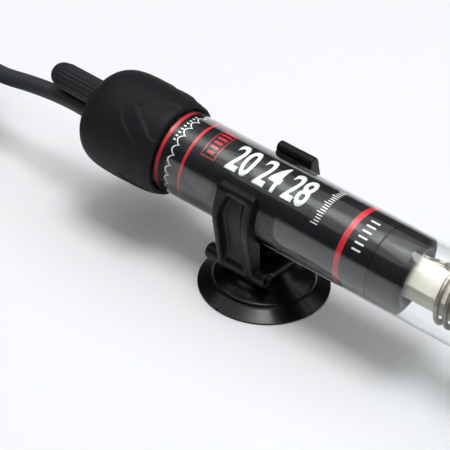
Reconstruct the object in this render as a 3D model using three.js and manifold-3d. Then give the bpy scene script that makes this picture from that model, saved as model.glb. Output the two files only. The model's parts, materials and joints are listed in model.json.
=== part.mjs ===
// Submersible aquarium heater: a closed glass tube with a rubber head, a ribbed
// temperature knob and a mains lead, held off the table by two clips on suction cups.
// Millimetres, +Z up, +X along the tube towards its closed tip.
import * as THREE from 'three';
import { mergeVertices } from 'three/addons/utils/BufferGeometryUtils.js';
import Module from 'manifold-3d';

const wasm = await Module();
wasm.setup();

// ---------- driving dimensions ----------
const FIT = 0.3;                 // clearance between neighbouring pieces
const BITE = 0.4;                // how far joined shapes of one piece run into each other

const TUBE_RADIUS = 13;          // glass, outside
const TUBE_WALL = 1.2;
const TUBE_SHOWING = 190;        // head rim to glass tip
const TUBE_IN_HEAD = 20;         // glass hidden in the head
const AXIS_HEIGHT = 32.3;        // tube axis above the table

const CAP_LENGTH = 32.7;
const CAP_WALL = 1.9;            // rubber round the glass at the head's rim
const CAP_SWELL = 1.4;           // how much thicker the head gets
const CAP_END_WALL = 3.6;
const CAP_CAVITY_RADIUS = 9.6;
const SEAL_STATION = 11;         // sealing ring behind the rim
const SEAL_WIRE = 0.75;          // radius of the ring's section

const BUNG_LENGTH = 14;
const BUNG_FLANGE = 2.4;

const KNOB_RADIUS = 4.3;
const KNOB_PROUD = 19.3;         // knob tip beyond the head
const KNOB_RIBS = 20;
const KNOB_RIB_DEPTH = 0.35;
const KNOB_RECESS = 2.4;         // how deep the knob sits in the head
const KNOB_LIFT = 4.6;           // knob axis above the tube axis
const SPINDLE_RADIUS = 1.5;
const CAM_LENGTH = 3;
const CAM_THROW = 0.35;

const CORD_DIAMETER = 5.4;
const CORD_DROP = 3.9;           // lead axis below the tube axis
const GLAND_WALL = 0.35;
const GLAND_PROUD = 0.8;
const CORD_INSIDE_END = 4.6;     // lead's cut end, before the chassis disc

const SLEEVE_CLEARANCE = 0.45;   // printed sleeve inside the glass
const SLEEVE_WALL = 0.5;
const SLEEVE_START = -4.6;
const SLEEVE_LENGTH = 84.8;
const END_PIECE_LENGTH = 12;
const END_SPIGOT = 4;
const END_CHAMFER = 1.5;
const SOCKET_RECESS = 2;
const SOCKET_DEPTH = 5;

const DISC_THICKNESS = 1.6;
const BASE_TOP = -5.6;           // chassis plate's upper face, from the tube axis
const BASE_THICKNESS = 1.2;

const STRIP_SETBACK = 14;        // bimetal strip's free end from the plate's end
const STRIP_LENGTH = 40;
const STRIP_WIDTH = 5;
const STRIP_THICKNESS = 0.8;
const STRIP_RISE = 2.6;          // strip's underside above the plate
const LEAF_SETBACK = 2;          // contact leaf's free end from the plate's end
const LEAF_LENGTH = 30;
const LEAF_WIDTH = 5;
const LEAF_THICKNESS = 0.4;
const CONTACT_RADIUS = 1.5;
const CONTACT_HEIGHT = 0.9;
const CONTACT_INSET = 3;         // contacts from the strip's free end
const CONTACT_GAP = 0.5;         // open contacts, switched off
const RIVET_RADIUS = 0.9;
const MAGNET_LENGTH = 5;
const MAGNET_HEIGHT = 1.4;
const POST_LENGTH = 6;

const CAPACITOR_SIZE = [9, 6.5, 4.5];
const FUSE_RADIUS = 1.4;
const FUSE_LENGTH = 9;
const WIRE_RADIUS = 0.8;         // insulated lead inside the tube
const BARE_RADIUS = 0.5;         // bare element lead
const HOLE_WEB = 0.6;            // end piece between the core's socket and the lead's hole

const CORE_RADIUS = 6.6;         // eight-sided ceramic rod, across its corners
const CORE_SIDES = 8;
const CORE_TURN = 27.5;          // its corners, turned about its axis, in degrees
const CORE_BORE = 1.7;
const CORE_TAIL = 1.2;           // rod beyond the winding's end
const SPACER_THICKNESS = 1.6;
const COIL_WIRE = 0.9;           // radius of the wound resistance spring
const COIL_PITCH = 3.3;          // loop to loop, along the core
const COIL_SETBACK = 10.9;       // first loop beyond the end piece
const COIL_BEND = 2;

const CLIP_STATION = 34.6;       // first clip, from the head rim
const CLIP_SPACING = 115;        // first clip to second clip
const CLIP_LEFT = 7.9;           // arms reach this far towards the head
const CLIP_RIGHT = 5.7;
const CLIP_WEB = 1.5;
const CLIP_RIB = 2.2;            // ribs' width along the tube
const CLIP_RIB_HEIGHT = 2.4;
const CLIP_LIP = 1.9;            // rolled lip's radius
const CLIP_LIP_OUT = 0.8;         // how far the lip rolls off the glass
const CLIP_LIP_ANGLE = 31;       // lip above the horizontal, in degrees
const CLIP_HUG_ANGLE = -38;      // where an arm's inside leaves the tube
const CLIP_TURN_ANGLE = -16;     // where its outside turns down to the base
const BASE_BAR = 2.6;            // radius of the clip's long base bars
const BASE_BAR_HOLE = 1.7;
const BASE_BAR_INSET = 2.7;      // bars' axes inside the tube's sides
const BASE_BAR_HEIGHT = 11.8;    // bar axis above the table
const BASE_LEFT = 13.6;
const BASE_RIGHT = 9.3;
const CROSS_BAR = 1.9;
const SEAT_THICKNESS = 2;        // plate that the cup's neck goes through

const CUP_RADIUS = 20.3;
const CUP_STEP_RADIUS = 15.7;
const CUP_FLAT = 1.7;            // flat ring that meets the table
const CUP_HOLLOW = 3.2;
const NECK_RADIUS = 3;
const HEAD_RADIUS = 4.4;

const PLUG_SIZE = [32, 26, 13.6];
const PLUG_REST = 0.1;           // plug above the stored lead that it lies on
const PLUG_PIN_RADIUS = 2;
const PLUG_PIN_LENGTH = 19;
const PLUG_PIN_SPREAD = 9.5;
const RELIEF_LENGTH = 16;
const PLUG_LEAD_LENGTH = 5;      // lead between the hank's last bend and the plug
const HANK_LAYERS = 3;
const HANK_HALVES = 3;           // half turns in each layer
const HANK_STRAIGHT = 38;        // straight run between the end bends
const HANK_INNER = 16.3;         // innermost end bend's radius
const HANK_END = 2;              // straight bit at each end of the stored lead
const TURN_GAP = 0.5;            // between neighbouring runs of the stored lead
const CLIMB_TUCK = 1;            // how far a climbing half turn leaves its lane
const TIE_STATION = 15.5;        // tie's middle, from the hank's middle
const TIE_WIDTH = 8;
const TIE_SLACK = 0.8;           // the band's room beside the runs
const TIE_WALL = 1;

const ROUND = 24;                // sides of the large round pieces
const SMALL = 12;                // sides of the small round pieces
const LOOP_STEPS = 24;
const LOOP_SIDES = 6;

// ---------- places worked out from them ----------
const overall = KNOB_PROUD + CAP_LENGTH + TUBE_SHOWING;
const rimX = KNOB_PROUD + CAP_LENGTH - overall / 2;
const boreRadius = TUBE_RADIUS - TUBE_WALL;
const tubeTurn = TUBE_SHOWING - TUBE_RADIUS;
const capRimRadius = TUBE_RADIUS + CAP_WALL;
const capMaxRadius = capRimRadius + CAP_SWELL;
const sleeveRadius = boreRadius - SLEEVE_CLEARANCE;
const sleeveBore = sleeveRadius - SLEEVE_WALL;
const sleeveEnd = SLEEVE_START + SLEEVE_LENGTH;
const endPieceEnd = sleeveEnd + FIT + END_PIECE_LENGTH;
const coreStart = endPieceEnd - SOCKET_DEPTH + FIT;
const coilRadius = CORE_RADIUS + FIT + COIL_WIRE;
const coilStart = endPieceEnd + COIL_SETBACK;
const coilTail = COIL_BEND + 2 * COIL_WIRE;
const coreTail = coilTail + CORE_TAIL;
const coilRoom = tubeTurn - 2 * FIT - SPACER_THICKNESS - coreTail - coilStart;
const coilLoops = Math.floor(coilRoom / COIL_PITCH);
const coilEnd = coilStart + coilLoops * COIL_PITCH;
const coreEnd = coilEnd + coreTail;
const cordRadius = CORD_DIAMETER / 2;
const baseBarSpread = TUBE_RADIUS - BASE_BAR_INSET;
const deg = Math.PI / 180;

// ---------- shape helpers ----------
function weld(geometry) {
  const bare = geometry.clone();
  bare.deleteAttribute('normal');
  bare.deleteAttribute('uv');
  const merged = mergeVertices(bare, 1e-4);
  const position = merged.attributes.position;
  const index = merged.index.array;
  const kept = [];
  let volume = 0;
  const [a, b, c] = [new THREE.Vector3(), new THREE.Vector3(), new THREE.Vector3()];
  for (let i = 0; i < index.length; i += 3) {
    const [p, q, r] = [index[i], index[i + 1], index[i + 2]];
    if (p === q || q === r || r === p) continue;
    kept.push(p, q, r);
    a.fromBufferAttribute(position, p);
    b.fromBufferAttribute(position, q);
    c.fromBufferAttribute(position, r);
    volume += a.dot(b.cross(c)) / 6;
  }
  if (volume < 0) kept.reverse();
  merged.setIndex(kept);
  return merged;
}

function solid(geometry) {
  const welded = weld(geometry);
  return new wasm.Manifold(new wasm.Mesh({
    numProp: 3,
    vertProperties: new Float32Array(welded.attributes.position.array),
    triVerts: new Uint32Array(welded.index.array),
  }));
}

function shape(manifold) {
  const mesh = manifold.getMesh();
  const geometry = new THREE.BufferGeometry();
  geometry.setAttribute('position', new THREE.BufferAttribute(mesh.vertProperties, 3));
  geometry.setIndex(new THREE.BufferAttribute(mesh.triVerts, 1));
  return geometry;
}

function join(...shapes) {
  return shape(shapes.map(solid).reduce((sum, next) => sum.add(next)));
}

function cut(body, ...tools) {
  return shape(tools.map(solid).reduce((rest, tool) => rest.subtract(tool), solid(body)));
}

// A solid turned about the X axis from [x, radius] points; a ring's points close by themselves.
function turned(points, sides = ROUND) {
  const onAxis = points[0][1] === 0;
  const outline = onAxis ? points : [...points, points[0]];
  const profile = outline.map(([x, r]) => new THREE.Vector2(r, x));
  return new THREE.LatheGeometry(profile, sides).rotateZ(-Math.PI / 2);
}

function rod(radius, from, to, sides = SMALL) {
  return turned([[from, 0], [from, radius], [to, radius], [to, 0]], sides);
}

function block(x, y, z) {
  const [width, depth, height] = [x[1] - x[0], y[1] - y[0], z[1] - z[0]];
  return new THREE.BoxGeometry(width, depth, height)
    .translate((x[0] + x[1]) / 2, (y[0] + y[1]) / 2, (z[0] + z[1]) / 2);
}

function arc(centreX, centreY, radius, from, to, steps) {
  return Array.from({ length: steps + 1 }, (_, i) => {
    const angle = from + (to - from) * i / steps;
    return [centreX + radius * Math.cos(angle), centreY + radius * Math.sin(angle)];
  });
}

// A flat outline in Y and Z, drawn out along X.
function drawnOut(outline, from, to) {
  const flat = new THREE.Shape(outline.map(([y, z]) => new THREE.Vector2(y, z)));
  return new THREE.ExtrudeGeometry(flat, { depth: to - from, bevelEnabled: false })
    .rotateX(Math.PI / 2)
    .rotateZ(Math.PI / 2)
    .translate(from, 0, 0);
}

function circle(radius, sides) {
  const points = arc(0, 0, radius, 0, 2 * Math.PI, sides).slice(0, sides);
  return new THREE.Shape(points.map(([x, y]) => new THREE.Vector2(x, y)));
}

function tubeAlong(curve, radius, steps, sides = 8) {
  return new THREE.ExtrudeGeometry(circle(radius, sides), { steps, extrudePath: curve });
}

function smooth(points) {
  return new THREE.CatmullRomCurve3(points.map((p) => new THREE.Vector3(...p)), false, 'centripetal');
}

function finish(color, roughness, metalness = 0, extra = {}) {
  return new THREE.MeshStandardMaterial({ color, roughness, metalness, ...extra });
}

const looks = {
  glass: () => finish(0xdfe6e8, 0.05, 0, { transparent: true, opacity: 0.3 }),
  rubber: () => finish(0x2b2b2d, 0.75),
  knob: () => finish(0x2a2a2c, 0.5),
  cup: () => finish(0x17171a, 0.25),
  clip: () => finish(0x1f1f24, 0.4),
  cord: () => finish(0x303033, 0.55),
  sleeve: () => finish(0x3a3b3f, 0.45),
  phenolic: () => finish(0x5c3a22, 0.6),
  steel: () => finish(0xa7a9ac, 0.35, 1),
  brass: () => finish(0xb8923f, 0.35, 1),
  ceramic: () => finish(0xe9e4d6, 0.6),
  element: () => finish(0x8d8680, 0.5, 1),
  wire: () => finish(0xb8b4aa, 0.6),
  plastic: () => finish(0xc9b47a, 0.4),
};

function piece(name, geometry, look) {
  const mesh = new THREE.Mesh(weld(geometry), looks[look]());
  mesh.name = name;
  return mesh;
}

// ---------- glass and head ----------
function glassTube() {
  const outside = arc(tubeTurn, 0, TUBE_RADIUS, Math.PI / 2, 0, 6);
  const inside = arc(tubeTurn, 0, boreRadius, 0, Math.PI / 2, 6);
  outside[6][1] = 0;
  inside[0][1] = 0;
  const profile = [
    ...inside,
    [-TUBE_IN_HEAD, boreRadius],
    [-TUBE_IN_HEAD, TUBE_RADIUS],
    ...outside,
  ];
  return piece('glass_tube', turned(profile), 'glass');
}

// The head's outline: a squarish end at the lead's side, widest past its middle, tapering to the rim.
function capOutline() {
  const crown = [
    [1, 0], [1, 0.27], [0.99, 0.398], [0.969, 0.58], [0.93, 0.742], [0.874, 0.862], [0.804, 0.937],
    [0.72, 0.977], [0.616, 0.995], [0.5, 1],
  ].map(([x, r]) => [-x * CAP_LENGTH, r * capMaxRadius]);
  const skirt = [[0.3, 1], [0.188, 0.82], [0.075, 0.41], [0, 0]]
    .map(([x, r]) => [-x * CAP_LENGTH, capRimRadius + r * CAP_SWELL]);
  return [...crown, ...skirt];
}

function headCap() {
  const body = turned([...capOutline(), [0, 0]]);
  const mouth = TUBE_RADIUS + FIT;
  const shoulder = -(TUBE_IN_HEAD + FIT + BUNG_FLANGE + FIT);
  const floor = -(CAP_LENGTH - CAP_END_WALL);
  const groove = SEAL_WIRE + FIT / 2;
  const hollow = turned([
    [1, 0], [1, mouth],
    [-SEAL_STATION + groove, mouth], [-SEAL_STATION + groove, mouth + 2 * SEAL_WIRE],
    [-SEAL_STATION - groove, mouth + 2 * SEAL_WIRE], [-SEAL_STATION - groove, mouth],
    [shoulder, mouth], [shoulder, CAP_CAVITY_RADIUS],
    [floor, CAP_CAVITY_RADIUS], [floor, 0],
  ]);
  const knobSeat = rod(KNOB_RADIUS + FIT, -CAP_LENGTH - 1, -CAP_LENGTH + KNOB_RECESS, 20);
  const spindleHole = rod(SPINDLE_RADIUS + FIT, -CAP_LENGTH - 1, floor + 1);
  const glandHole = rod(cordRadius + GLAND_WALL + 2 * FIT, -CAP_LENGTH - 1, floor + 1, 16);
  return piece('head_cap', cut(
    body,
    hollow,
    knobSeat.translate(0, 0, KNOB_LIFT),
    spindleHole.translate(0, 0, KNOB_LIFT),
    glandHole.translate(0, 0, -CORD_DROP),
  ), 'rubber');
}

function ringOf(name, station, midRadius, wire, lift, look, sides) {
  const section = arc(0, 0, wire, 0, 2 * Math.PI, 6).slice(0, 6);
  const ring = turned(section.map(([x, r]) => [station + x, midRadius + r]), sides);
  return piece(name, ring.translate(0, 0, lift), look);
}

function capSeal() {
  return ringOf('cap_seal_ring', -SEAL_STATION, TUBE_RADIUS + FIT / 2 + SEAL_WIRE + 0.1, SEAL_WIRE, 0, 'cup', ROUND);
}

const bungTop = -(TUBE_IN_HEAD + FIT + BUNG_FLANGE);
const bungEnd = bungTop + BUNG_FLANGE + BUNG_LENGTH;
const sealPocket = 2.2;

function rubberBung() {
  const flangeEnd = bungTop + BUNG_FLANGE;
  const body = turned([
    [bungTop, 0], [bungTop, TUBE_RADIUS], [flangeEnd, TUBE_RADIUS],
    [flangeEnd, boreRadius - FIT], [bungEnd, boreRadius - FIT], [bungEnd, 0],
  ]);
  const spindleHole = rod(SPINDLE_RADIUS + FIT, bungTop - 1, bungEnd + 1);
  const pocket = rod(SPINDLE_RADIUS + FIT + 2 * 0.7 + FIT, bungTop - 1, bungTop + sealPocket, 16);
  const cordHole = rod(cordRadius + FIT, bungTop - 1, bungEnd + 1, 16);
  return piece('rubber_bung', cut(
    body,
    spindleHole.translate(0, 0, KNOB_LIFT),
    pocket.translate(0, 0, KNOB_LIFT),
    cordHole.translate(0, 0, -CORD_DROP),
  ), 'cup');
}

function spindleSeal() {
  return ringOf('spindle_seal_ring', bungTop + 1.2, SPINDLE_RADIUS + FIT / 2 + 0.8, 0.7, KNOB_LIFT, 'cup', 16);
}

function cordGland() {
  const inner = cordRadius + FIT;
  const outer = inner + GLAND_WALL;
  const from = -CAP_LENGTH - GLAND_PROUD;
  const to = -CAP_LENGTH + CAP_END_WALL + 1;
  const sleeve = turned([[from, inner], [to, inner], [to, outer], [from, outer]], 16);
  return piece('cord_gland', sleeve.translate(0, 0, -CORD_DROP), 'cup');
}

function cordInner() {
  const stub = rod(cordRadius, -CAP_LENGTH - GLAND_PROUD, -CORD_INSIDE_END - FIT, 12);
  return piece('cord_inner_end', stub.translate(0, 0, -CORD_DROP), 'cord');
}

// ---------- knob, spindle and cam ----------
function ribbedOutline() {
  return Array.from({ length: KNOB_RIBS * 2 }, (_, i) => {
    const radius = KNOB_RADIUS - (i % 2) * KNOB_RIB_DEPTH;
    const angle = i * Math.PI / KNOB_RIBS;
    return [radius * Math.cos(angle), radius * Math.sin(angle)];
  });
}

function adjustKnob() {
  const base = -CAP_LENGTH + KNOB_RECESS - FIT;
  const tip = -CAP_LENGTH - KNOB_PROUD;
  const dome = KNOB_RADIUS - KNOB_RIB_DEPTH;
  const ribbed = drawnOut(ribbedOutline(), tip + dome, base);
  const nose = arc(tip + dome, 0, dome, Math.PI, Math.PI / 2, 4);
  nose[0][1] = 0;
  const cap = turned([...nose, [tip + dome + BITE, dome], [tip + dome + BITE, 0]], 20);
  const bore = rod(SPINDLE_RADIUS + FIT, base - 8, base + 1);
  return piece('adjust_knob', cut(join(ribbed, cap), bore).translate(0, 0, KNOB_LIFT), 'knob');
}

const spindleEnd = SLEEVE_START + DISC_THICKNESS + 2;

function knobSpindle() {
  const start = -CAP_LENGTH + KNOB_RECESS - 8;
  return piece('knob_spindle', rod(SPINDLE_RADIUS, start, spindleEnd).translate(0, 0, KNOB_LIFT), 'brass');
}

function adjustCam() {
  const from = spindleEnd + FIT;
  const reach = KNOB_LIFT - CAM_THROW - FIT - (leafPlane + LEAF_THICKNESS);
  const cam = rod(reach, from, from + CAM_LENGTH, 16);
  return piece('adjust_cam', cam.translate(0, 0, KNOB_LIFT - CAM_THROW), 'plastic');
}

// ---------- printed sleeve and its end ----------
function labelSleeve() {
  const tube = turned([
    [SLEEVE_START, sleeveBore], [sleeveEnd, sleeveBore],
    [sleeveEnd, sleeveRadius], [SLEEVE_START, sleeveRadius],
  ]);
  return piece('label_sleeve', tube, 'sleeve');
}

const wireHoleSpread = CORE_RADIUS + 2 * FIT + HOLE_WEB + WIRE_RADIUS;
const coreSpread = 1.35;         // the lead's two cores, from its middle

function sleeveEndPiece() {
  const start = sleeveEnd + FIT;
  const spigot = sleeveBore - FIT;
  const body = turned([
    [start - END_SPIGOT, 0], [start - END_SPIGOT, spigot], [start, spigot],
    [start, sleeveRadius], [endPieceEnd - END_CHAMFER, sleeveRadius],
    [endPieceEnd, sleeveRadius - END_CHAMFER], [endPieceEnd, 0],
  ]);
  const dish = turned([
    [endPieceEnd - SOCKET_RECESS, 0], [endPieceEnd - SOCKET_RECESS, CORE_RADIUS + 0.6],
    [endPieceEnd + 1, CORE_RADIUS + 2], [endPieceEnd + 1, 0],
  ], 24);
  const socket = rod(CORE_RADIUS + FIT, endPieceEnd - SOCKET_DEPTH, endPieceEnd + 1, 24);
  const hole = () => rod(WIRE_RADIUS + FIT, start - END_SPIGOT - 1, endPieceEnd + 1);
  const feedHole = hole().translate(0, 0, wireHoleSpread);
  return piece('sleeve_end_piece', cut(body, dish, socket, hole(), feedHole), 'rubber');
}

// ---------- thermostat ----------
const discFace = SLEEVE_START + 0.2 + DISC_THICKNESS;
const baseStart = discFace + FIT;
const baseEnd = sleeveEnd + FIT - END_SPIGOT - FIT;
const leafPlane = BASE_TOP + STRIP_RISE + STRIP_THICKNESS + 2 * CONTACT_HEIGHT + CONTACT_GAP;
const baseHalf = Math.sqrt((sleeveBore - 2 * FIT) ** 2 - (BASE_TOP - BASE_THICKNESS) ** 2);
const stripFree = baseStart + STRIP_SETBACK;
const stripFixed = stripFree + STRIP_LENGTH;
const contactAt = stripFree + CONTACT_INSET;
const leafFree = baseStart + LEAF_SETBACK;
const leafFixed = leafFree + LEAF_LENGTH;

function chassisDisc() {
  const radius = sleeveBore - FIT;
  const from = discFace - DISC_THICKNESS;
  const disc = rod(radius, from, discFace, ROUND);
  const spindleHole = rod(SPINDLE_RADIUS + FIT, from - 1, discFace + 1).translate(0, 0, KNOB_LIFT);
  const wireHoles = [-1, 1].map((side) => rod(WIRE_RADIUS + FIT, from - 1, discFace + 1)
    .translate(0, side * coreSpread, -CORD_DROP));
  return piece('chassis_disc', cut(disc, spindleHole, ...wireHoles), 'phenolic');
}

function thermostatBase() {
  const plate = block([baseStart, baseEnd], [-baseHalf, baseHalf], [BASE_TOP - BASE_THICKNESS, BASE_TOP]);
  const notch = block([baseEnd - 8, baseEnd + 1], [-2, 2], [BASE_TOP - 3, BASE_TOP + 1]);
  return piece('thermostat_base', cut(plate, notch), 'phenolic');
}

function post(name, fixedEnd, top) {
  const half = STRIP_WIDTH / 2;
  const foot = block([fixedEnd - POST_LENGTH, fixedEnd], [-half, half], [BASE_TOP + FIT, top - FIT]);
  return piece(name, foot, 'steel');
}

function spring(name, free, length, width, thickness, underside, look) {
  const half = width / 2;
  const hole = rod(RIVET_RADIUS + FIT, -2, 2).rotateY(Math.PI / 2).translate(free + length - POST_LENGTH / 2, 0, underside);
  const strip = block([free, free + length], [-half, half], [underside, underside + thickness]);
  return piece(name, cut(strip, hole), look);
}

function bimetalStrip() {
  return spring('bimetal_strip', stripFree, STRIP_LENGTH, STRIP_WIDTH, STRIP_THICKNESS, BASE_TOP + STRIP_RISE, 'steel');
}

function contactLeaf() {
  return spring('contact_leaf', leafFree, LEAF_LENGTH, LEAF_WIDTH, LEAF_THICKNESS, leafPlane, 'brass');
}

function rivet(name, fixedEnd, seat, thickness) {
  const top = seat + thickness + FIT;
  const shank = rod(RIVET_RADIUS, -(seat - FIT / 2), -top - BITE);
  const head = rod(RIVET_RADIUS * 1.8, -top, -top - 0.8);
  const turnedUp = join(shank, head).rotateY(Math.PI / 2);
  return piece(name, turnedUp.translate(fixedEnd - POST_LENGTH / 2, 0, 0), 'steel');
}

function contact(name, from, to) {
  const button = rod(CONTACT_RADIUS, -from, -to).rotateY(Math.PI / 2);
  return piece(name, button.translate(contactAt, 0, 0), 'steel');
}

function movingContact() {
  const seat = BASE_TOP + STRIP_RISE + STRIP_THICKNESS + FIT / 3;
  return contact('moving_contact', seat, seat + CONTACT_HEIGHT - FIT / 3);
}

function fixedContact() {
  return contact('fixed_contact', leafPlane - CONTACT_HEIGHT, leafPlane - FIT / 3);
}

function magnet() {
  const from = contactAt + CONTACT_RADIUS + 1;
  const body = block([from, from + MAGNET_LENGTH], [-2.2, 2.2], [BASE_TOP + FIT / 2, BASE_TOP + MAGNET_HEIGHT]);
  return piece('snap_magnet', body, 'steel');
}

function leafPost() {
  const [from, to] = [leafFixed - POST_LENGTH, leafFixed];
  const half = baseHalf - FIT;
  const inner = STRIP_WIDTH / 2 + 1;
  const bridge = block([from, to], [-half, half], [leafPlane - FIT - 1, leafPlane - FIT]);
  const legs = [-1, 1].map((side) => block(
    [from, to],
    side < 0 ? [-half, -inner] : [inner, half],
    [BASE_TOP + FIT, leafPlane - FIT - 1 + BITE],
  ));
  return piece('leaf_bridge', join(bridge, ...legs), 'phenolic');
}

function capacitor() {
  const [length, width, height] = CAPACITOR_SIZE;
  const from = stripFixed + 2;
  const body = block([from, from + length], [-width / 2, width / 2], [BASE_TOP + FIT, BASE_TOP + FIT + height]);
  return piece('capacitor', body, 'plastic');
}

const fuseStart = stripFixed - FUSE_LENGTH - 4;
const fuseHeight = BASE_TOP + FIT + FUSE_RADIUS;
const sideRun = STRIP_WIDTH / 2 + FUSE_RADIUS + 1;

function thermalFuse() {
  const body = rod(FUSE_RADIUS, fuseStart, fuseStart + FUSE_LENGTH);
  return piece('thermal_fuse', body.translate(0, sideRun, fuseHeight), 'steel');
}

const tabStart = baseStart + 3;
const tabLength = 6;
const tabWidth = 2.6;

function terminal(name, side) {
  const at = side * sideRun;
  const tab = block(
    [tabStart, tabStart + tabLength],
    [at - tabWidth / 2, at + tabWidth / 2],
    [BASE_TOP + FIT / 2, BASE_TOP + FIT / 2 + 1],
  );
  return piece(name, tab, 'brass');
}

// The two cores of the lead: from its cut end, through the disc, to their terminal tabs.
function mainsLead(name, side) {
  const rest = BASE_TOP + FIT / 2 + 1 + FIT + WIRE_RADIUS;
  const route = smooth([
    [-CORD_INSIDE_END, side * coreSpread, -CORD_DROP],
    [discFace - DISC_THICKNESS / 2, side * coreSpread, -CORD_DROP],
    [discFace + 0.6, side * (coreSpread + 0.1), -CORD_DROP],
    [tabStart, side * (sideRun - 0.6), rest],
    [tabStart + tabLength, side * sideRun, rest],
  ]);
  return piece(name, tubeAlong(route, WIRE_RADIUS, 8, 6), 'wire');
}

// Leads from the plate's end out to the element: one by the fuse's side, one straight on.
function elementFeed() {
  const route = smooth([
    [fuseStart + FUSE_LENGTH + FIT, sideRun, fuseHeight],
    [fuseStart + FUSE_LENGTH + 8, sideRun, fuseHeight + 1],
    [baseEnd - 14, sideRun, fuseHeight + 5],
    [baseEnd - 6, 2, wireHoleSpread - 0.6],
    [baseEnd, 0, wireHoleSpread],
    [endPieceEnd, 0, wireHoleSpread],
  ]);
  return piece('element_feed_lead', tubeAlong(route, WIRE_RADIUS, 16, 6), 'wire');
}

function elementReturn() {
  const height = BASE_TOP - BASE_THICKNESS - FIT - WIRE_RADIUS;
  const route = smooth([
    [tabStart + 4, 0, height],
    [baseEnd - 12, 0, height],
    [baseEnd - 7.5, 0, height + 0.3],
    [baseEnd - 4, 0, height + 3.4],
    [baseEnd - 1, 0, -0.3],
    [baseEnd + 1, 0, 0],
    [coreStart - FIT, 0, 0],
  ]);
  return piece('element_return_lead', tubeAlong(route, WIRE_RADIUS, 20, 6), 'wire');
}

// ---------- heating element ----------
function ceramicCore() {
  const body = rod(CORE_RADIUS, coreStart, coreEnd, CORE_SIDES);
  const bore = rod(CORE_BORE, coreStart - 1, coreEnd + 1, 10);
  return piece('ceramic_core', cut(body.rotateX(CORE_TURN * deg), bore), 'ceramic');
}

const spacerStart = coreEnd + FIT;
const spacerEnd = spacerStart + SPACER_THICKNESS;

// Holds the core in the middle of the glass; the bare return wire passes it twice.
function coreSpacer() {
  const end = coilPoints().at(-1);
  const disc = rod(boreRadius - 2 * FIT, spacerStart, spacerEnd, ROUND);
  const hole = () => rod(BARE_RADIUS + FIT, spacerStart - 1, spacerEnd + 1, 8);
  return piece('core_spacer_disc', cut(disc, hole(), hole().translate(0, end.y, end.z)), 'ceramic');
}

// The winding, unrolled: straight along the core, a quarter bend, the loops, a bend, straight.
function coilPoints() {
  const straight = 2 * COIL_WIRE;
  const around = 2 * Math.PI * coilRadius;
  const loops = Array.from({ length: coilLoops * LOOP_STEPS - 1 }, (_, i) => {
    const part = (i + 1) / LOOP_STEPS;
    return [coilStart + part * COIL_PITCH, part * around];
  });
  const last = coilLoops * around;
  const start = [
    [coilStart - COIL_BEND - straight, -COIL_BEND],
    [coilStart - COIL_BEND, -COIL_BEND],
    [coilStart - COIL_BEND * 0.3, -COIL_BEND * 0.7],
    [coilStart, 0],
  ];
  const finishRun = [
    [coilEnd, last],
    [coilEnd + COIL_BEND * 0.3, last + COIL_BEND * 0.7],
    [coilEnd + COIL_BEND, last + COIL_BEND],
    [coilEnd + COIL_BEND + straight, last + COIL_BEND],
  ];
  return [...start, ...loops, ...finishRun].map(([x, run]) => {
    const angle = Math.PI / 2 + run / coilRadius;
    return new THREE.Vector3(x, coilRadius * Math.cos(angle), coilRadius * Math.sin(angle));
  });
}

// Rings of a tube's section, carried along the points without twisting.
function tubeThrough(points, radius, sides) {
  const positions = [];
  const index = [];
  let normal = null;
  points.forEach((point, i) => {
    const before = points[Math.max(i - 1, 0)];
    const after = points[Math.min(i + 1, points.length - 1)];
    const tangent = after.clone().sub(before).normalize();
    const seed = normal ?? new THREE.Vector3(tangent.z, tangent.x, tangent.y);
    normal = seed.clone().addScaledVector(tangent, -seed.dot(tangent)).normalize();
    const side = tangent.clone().cross(normal);
    for (let k = 0; k < sides; k += 1) {
      const angle = 2 * Math.PI * k / sides;
      const out = normal.clone().multiplyScalar(Math.cos(angle) * radius)
        .addScaledVector(side, Math.sin(angle) * radius);
      positions.push(...point.clone().add(out).toArray());
    }
  });
  const rings = points.length;
  for (let i = 0; i < rings - 1; i += 1) {
    for (let k = 0; k < sides; k += 1) {
      const next = (k + 1) % sides;
      const [a, b] = [i * sides + k, i * sides + next];
      index.push(a, b, b + sides, a, b + sides, a + sides);
    }
  }
  for (let k = 1; k < sides - 1; k += 1) {
    index.push(0, k + 1, k);
    const last = (rings - 1) * sides;
    index.push(last, last + k, last + k + 1);
  }
  const geometry = new THREE.BufferGeometry();
  geometry.setAttribute('position', new THREE.Float32BufferAttribute(positions, 3));
  geometry.setIndex(index);
  return geometry;
}

// Least gap between stretches of one tube that lie more than half a loop apart along it.
function leastGap(points, radius, apart) {
  let least = Infinity;
  for (let i = 0; i < points.length; i += 1) {
    for (let j = i + apart; j < points.length; j += 1) {
      least = Math.min(least, points[i].distanceTo(points[j]));
    }
  }
  return least - 2 * radius;
}

function heatingCoil() {
  const points = coilPoints();
  console.log('heating_coil least gap to itself', leastGap(points, COIL_WIRE, 12).toFixed(2), 'mm');
  return piece('heating_coil', tubeThrough(points, COIL_WIRE, LOOP_SIDES), 'element');
}

function coilLead() {
  const points = coilPoints();
  const end = points[0];
  const from = endPieceEnd + FIT;
  const to = end.x - FIT;
  const route = smooth([
    [from, 0, wireHoleSpread],
    [from + 2, 0, wireHoleSpread],
    [to - 2, end.y, end.z],
    [to, end.y, end.z],
  ]);
  return piece('coil_start_lead', tubeAlong(route, BARE_RADIUS, 8, 6), 'element');
}

// From the winding's far end through the disc, over, and back along the core's bore.
function coilReturn() {
  const end = coilPoints().at(-1);
  const beyond = spacerEnd + 3;
  const route = smooth([
    [end.x + FIT, end.y, end.z],
    [spacerEnd + 1, end.y, end.z],
    [beyond, end.y * 0.7, end.z * 0.7],
    [beyond, end.y * 0.3, end.z * 0.3],
    [spacerEnd + 1, 0, 0],
    [spacerStart - 1, 0, 0],
    [(coreStart + coreEnd) / 2, 0, 0],
    [coreStart + FIT, 0, 0],
  ]);
  return piece('coil_return_lead', tubeAlong(route, BARE_RADIUS, 22, 5), 'element');
}

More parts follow.
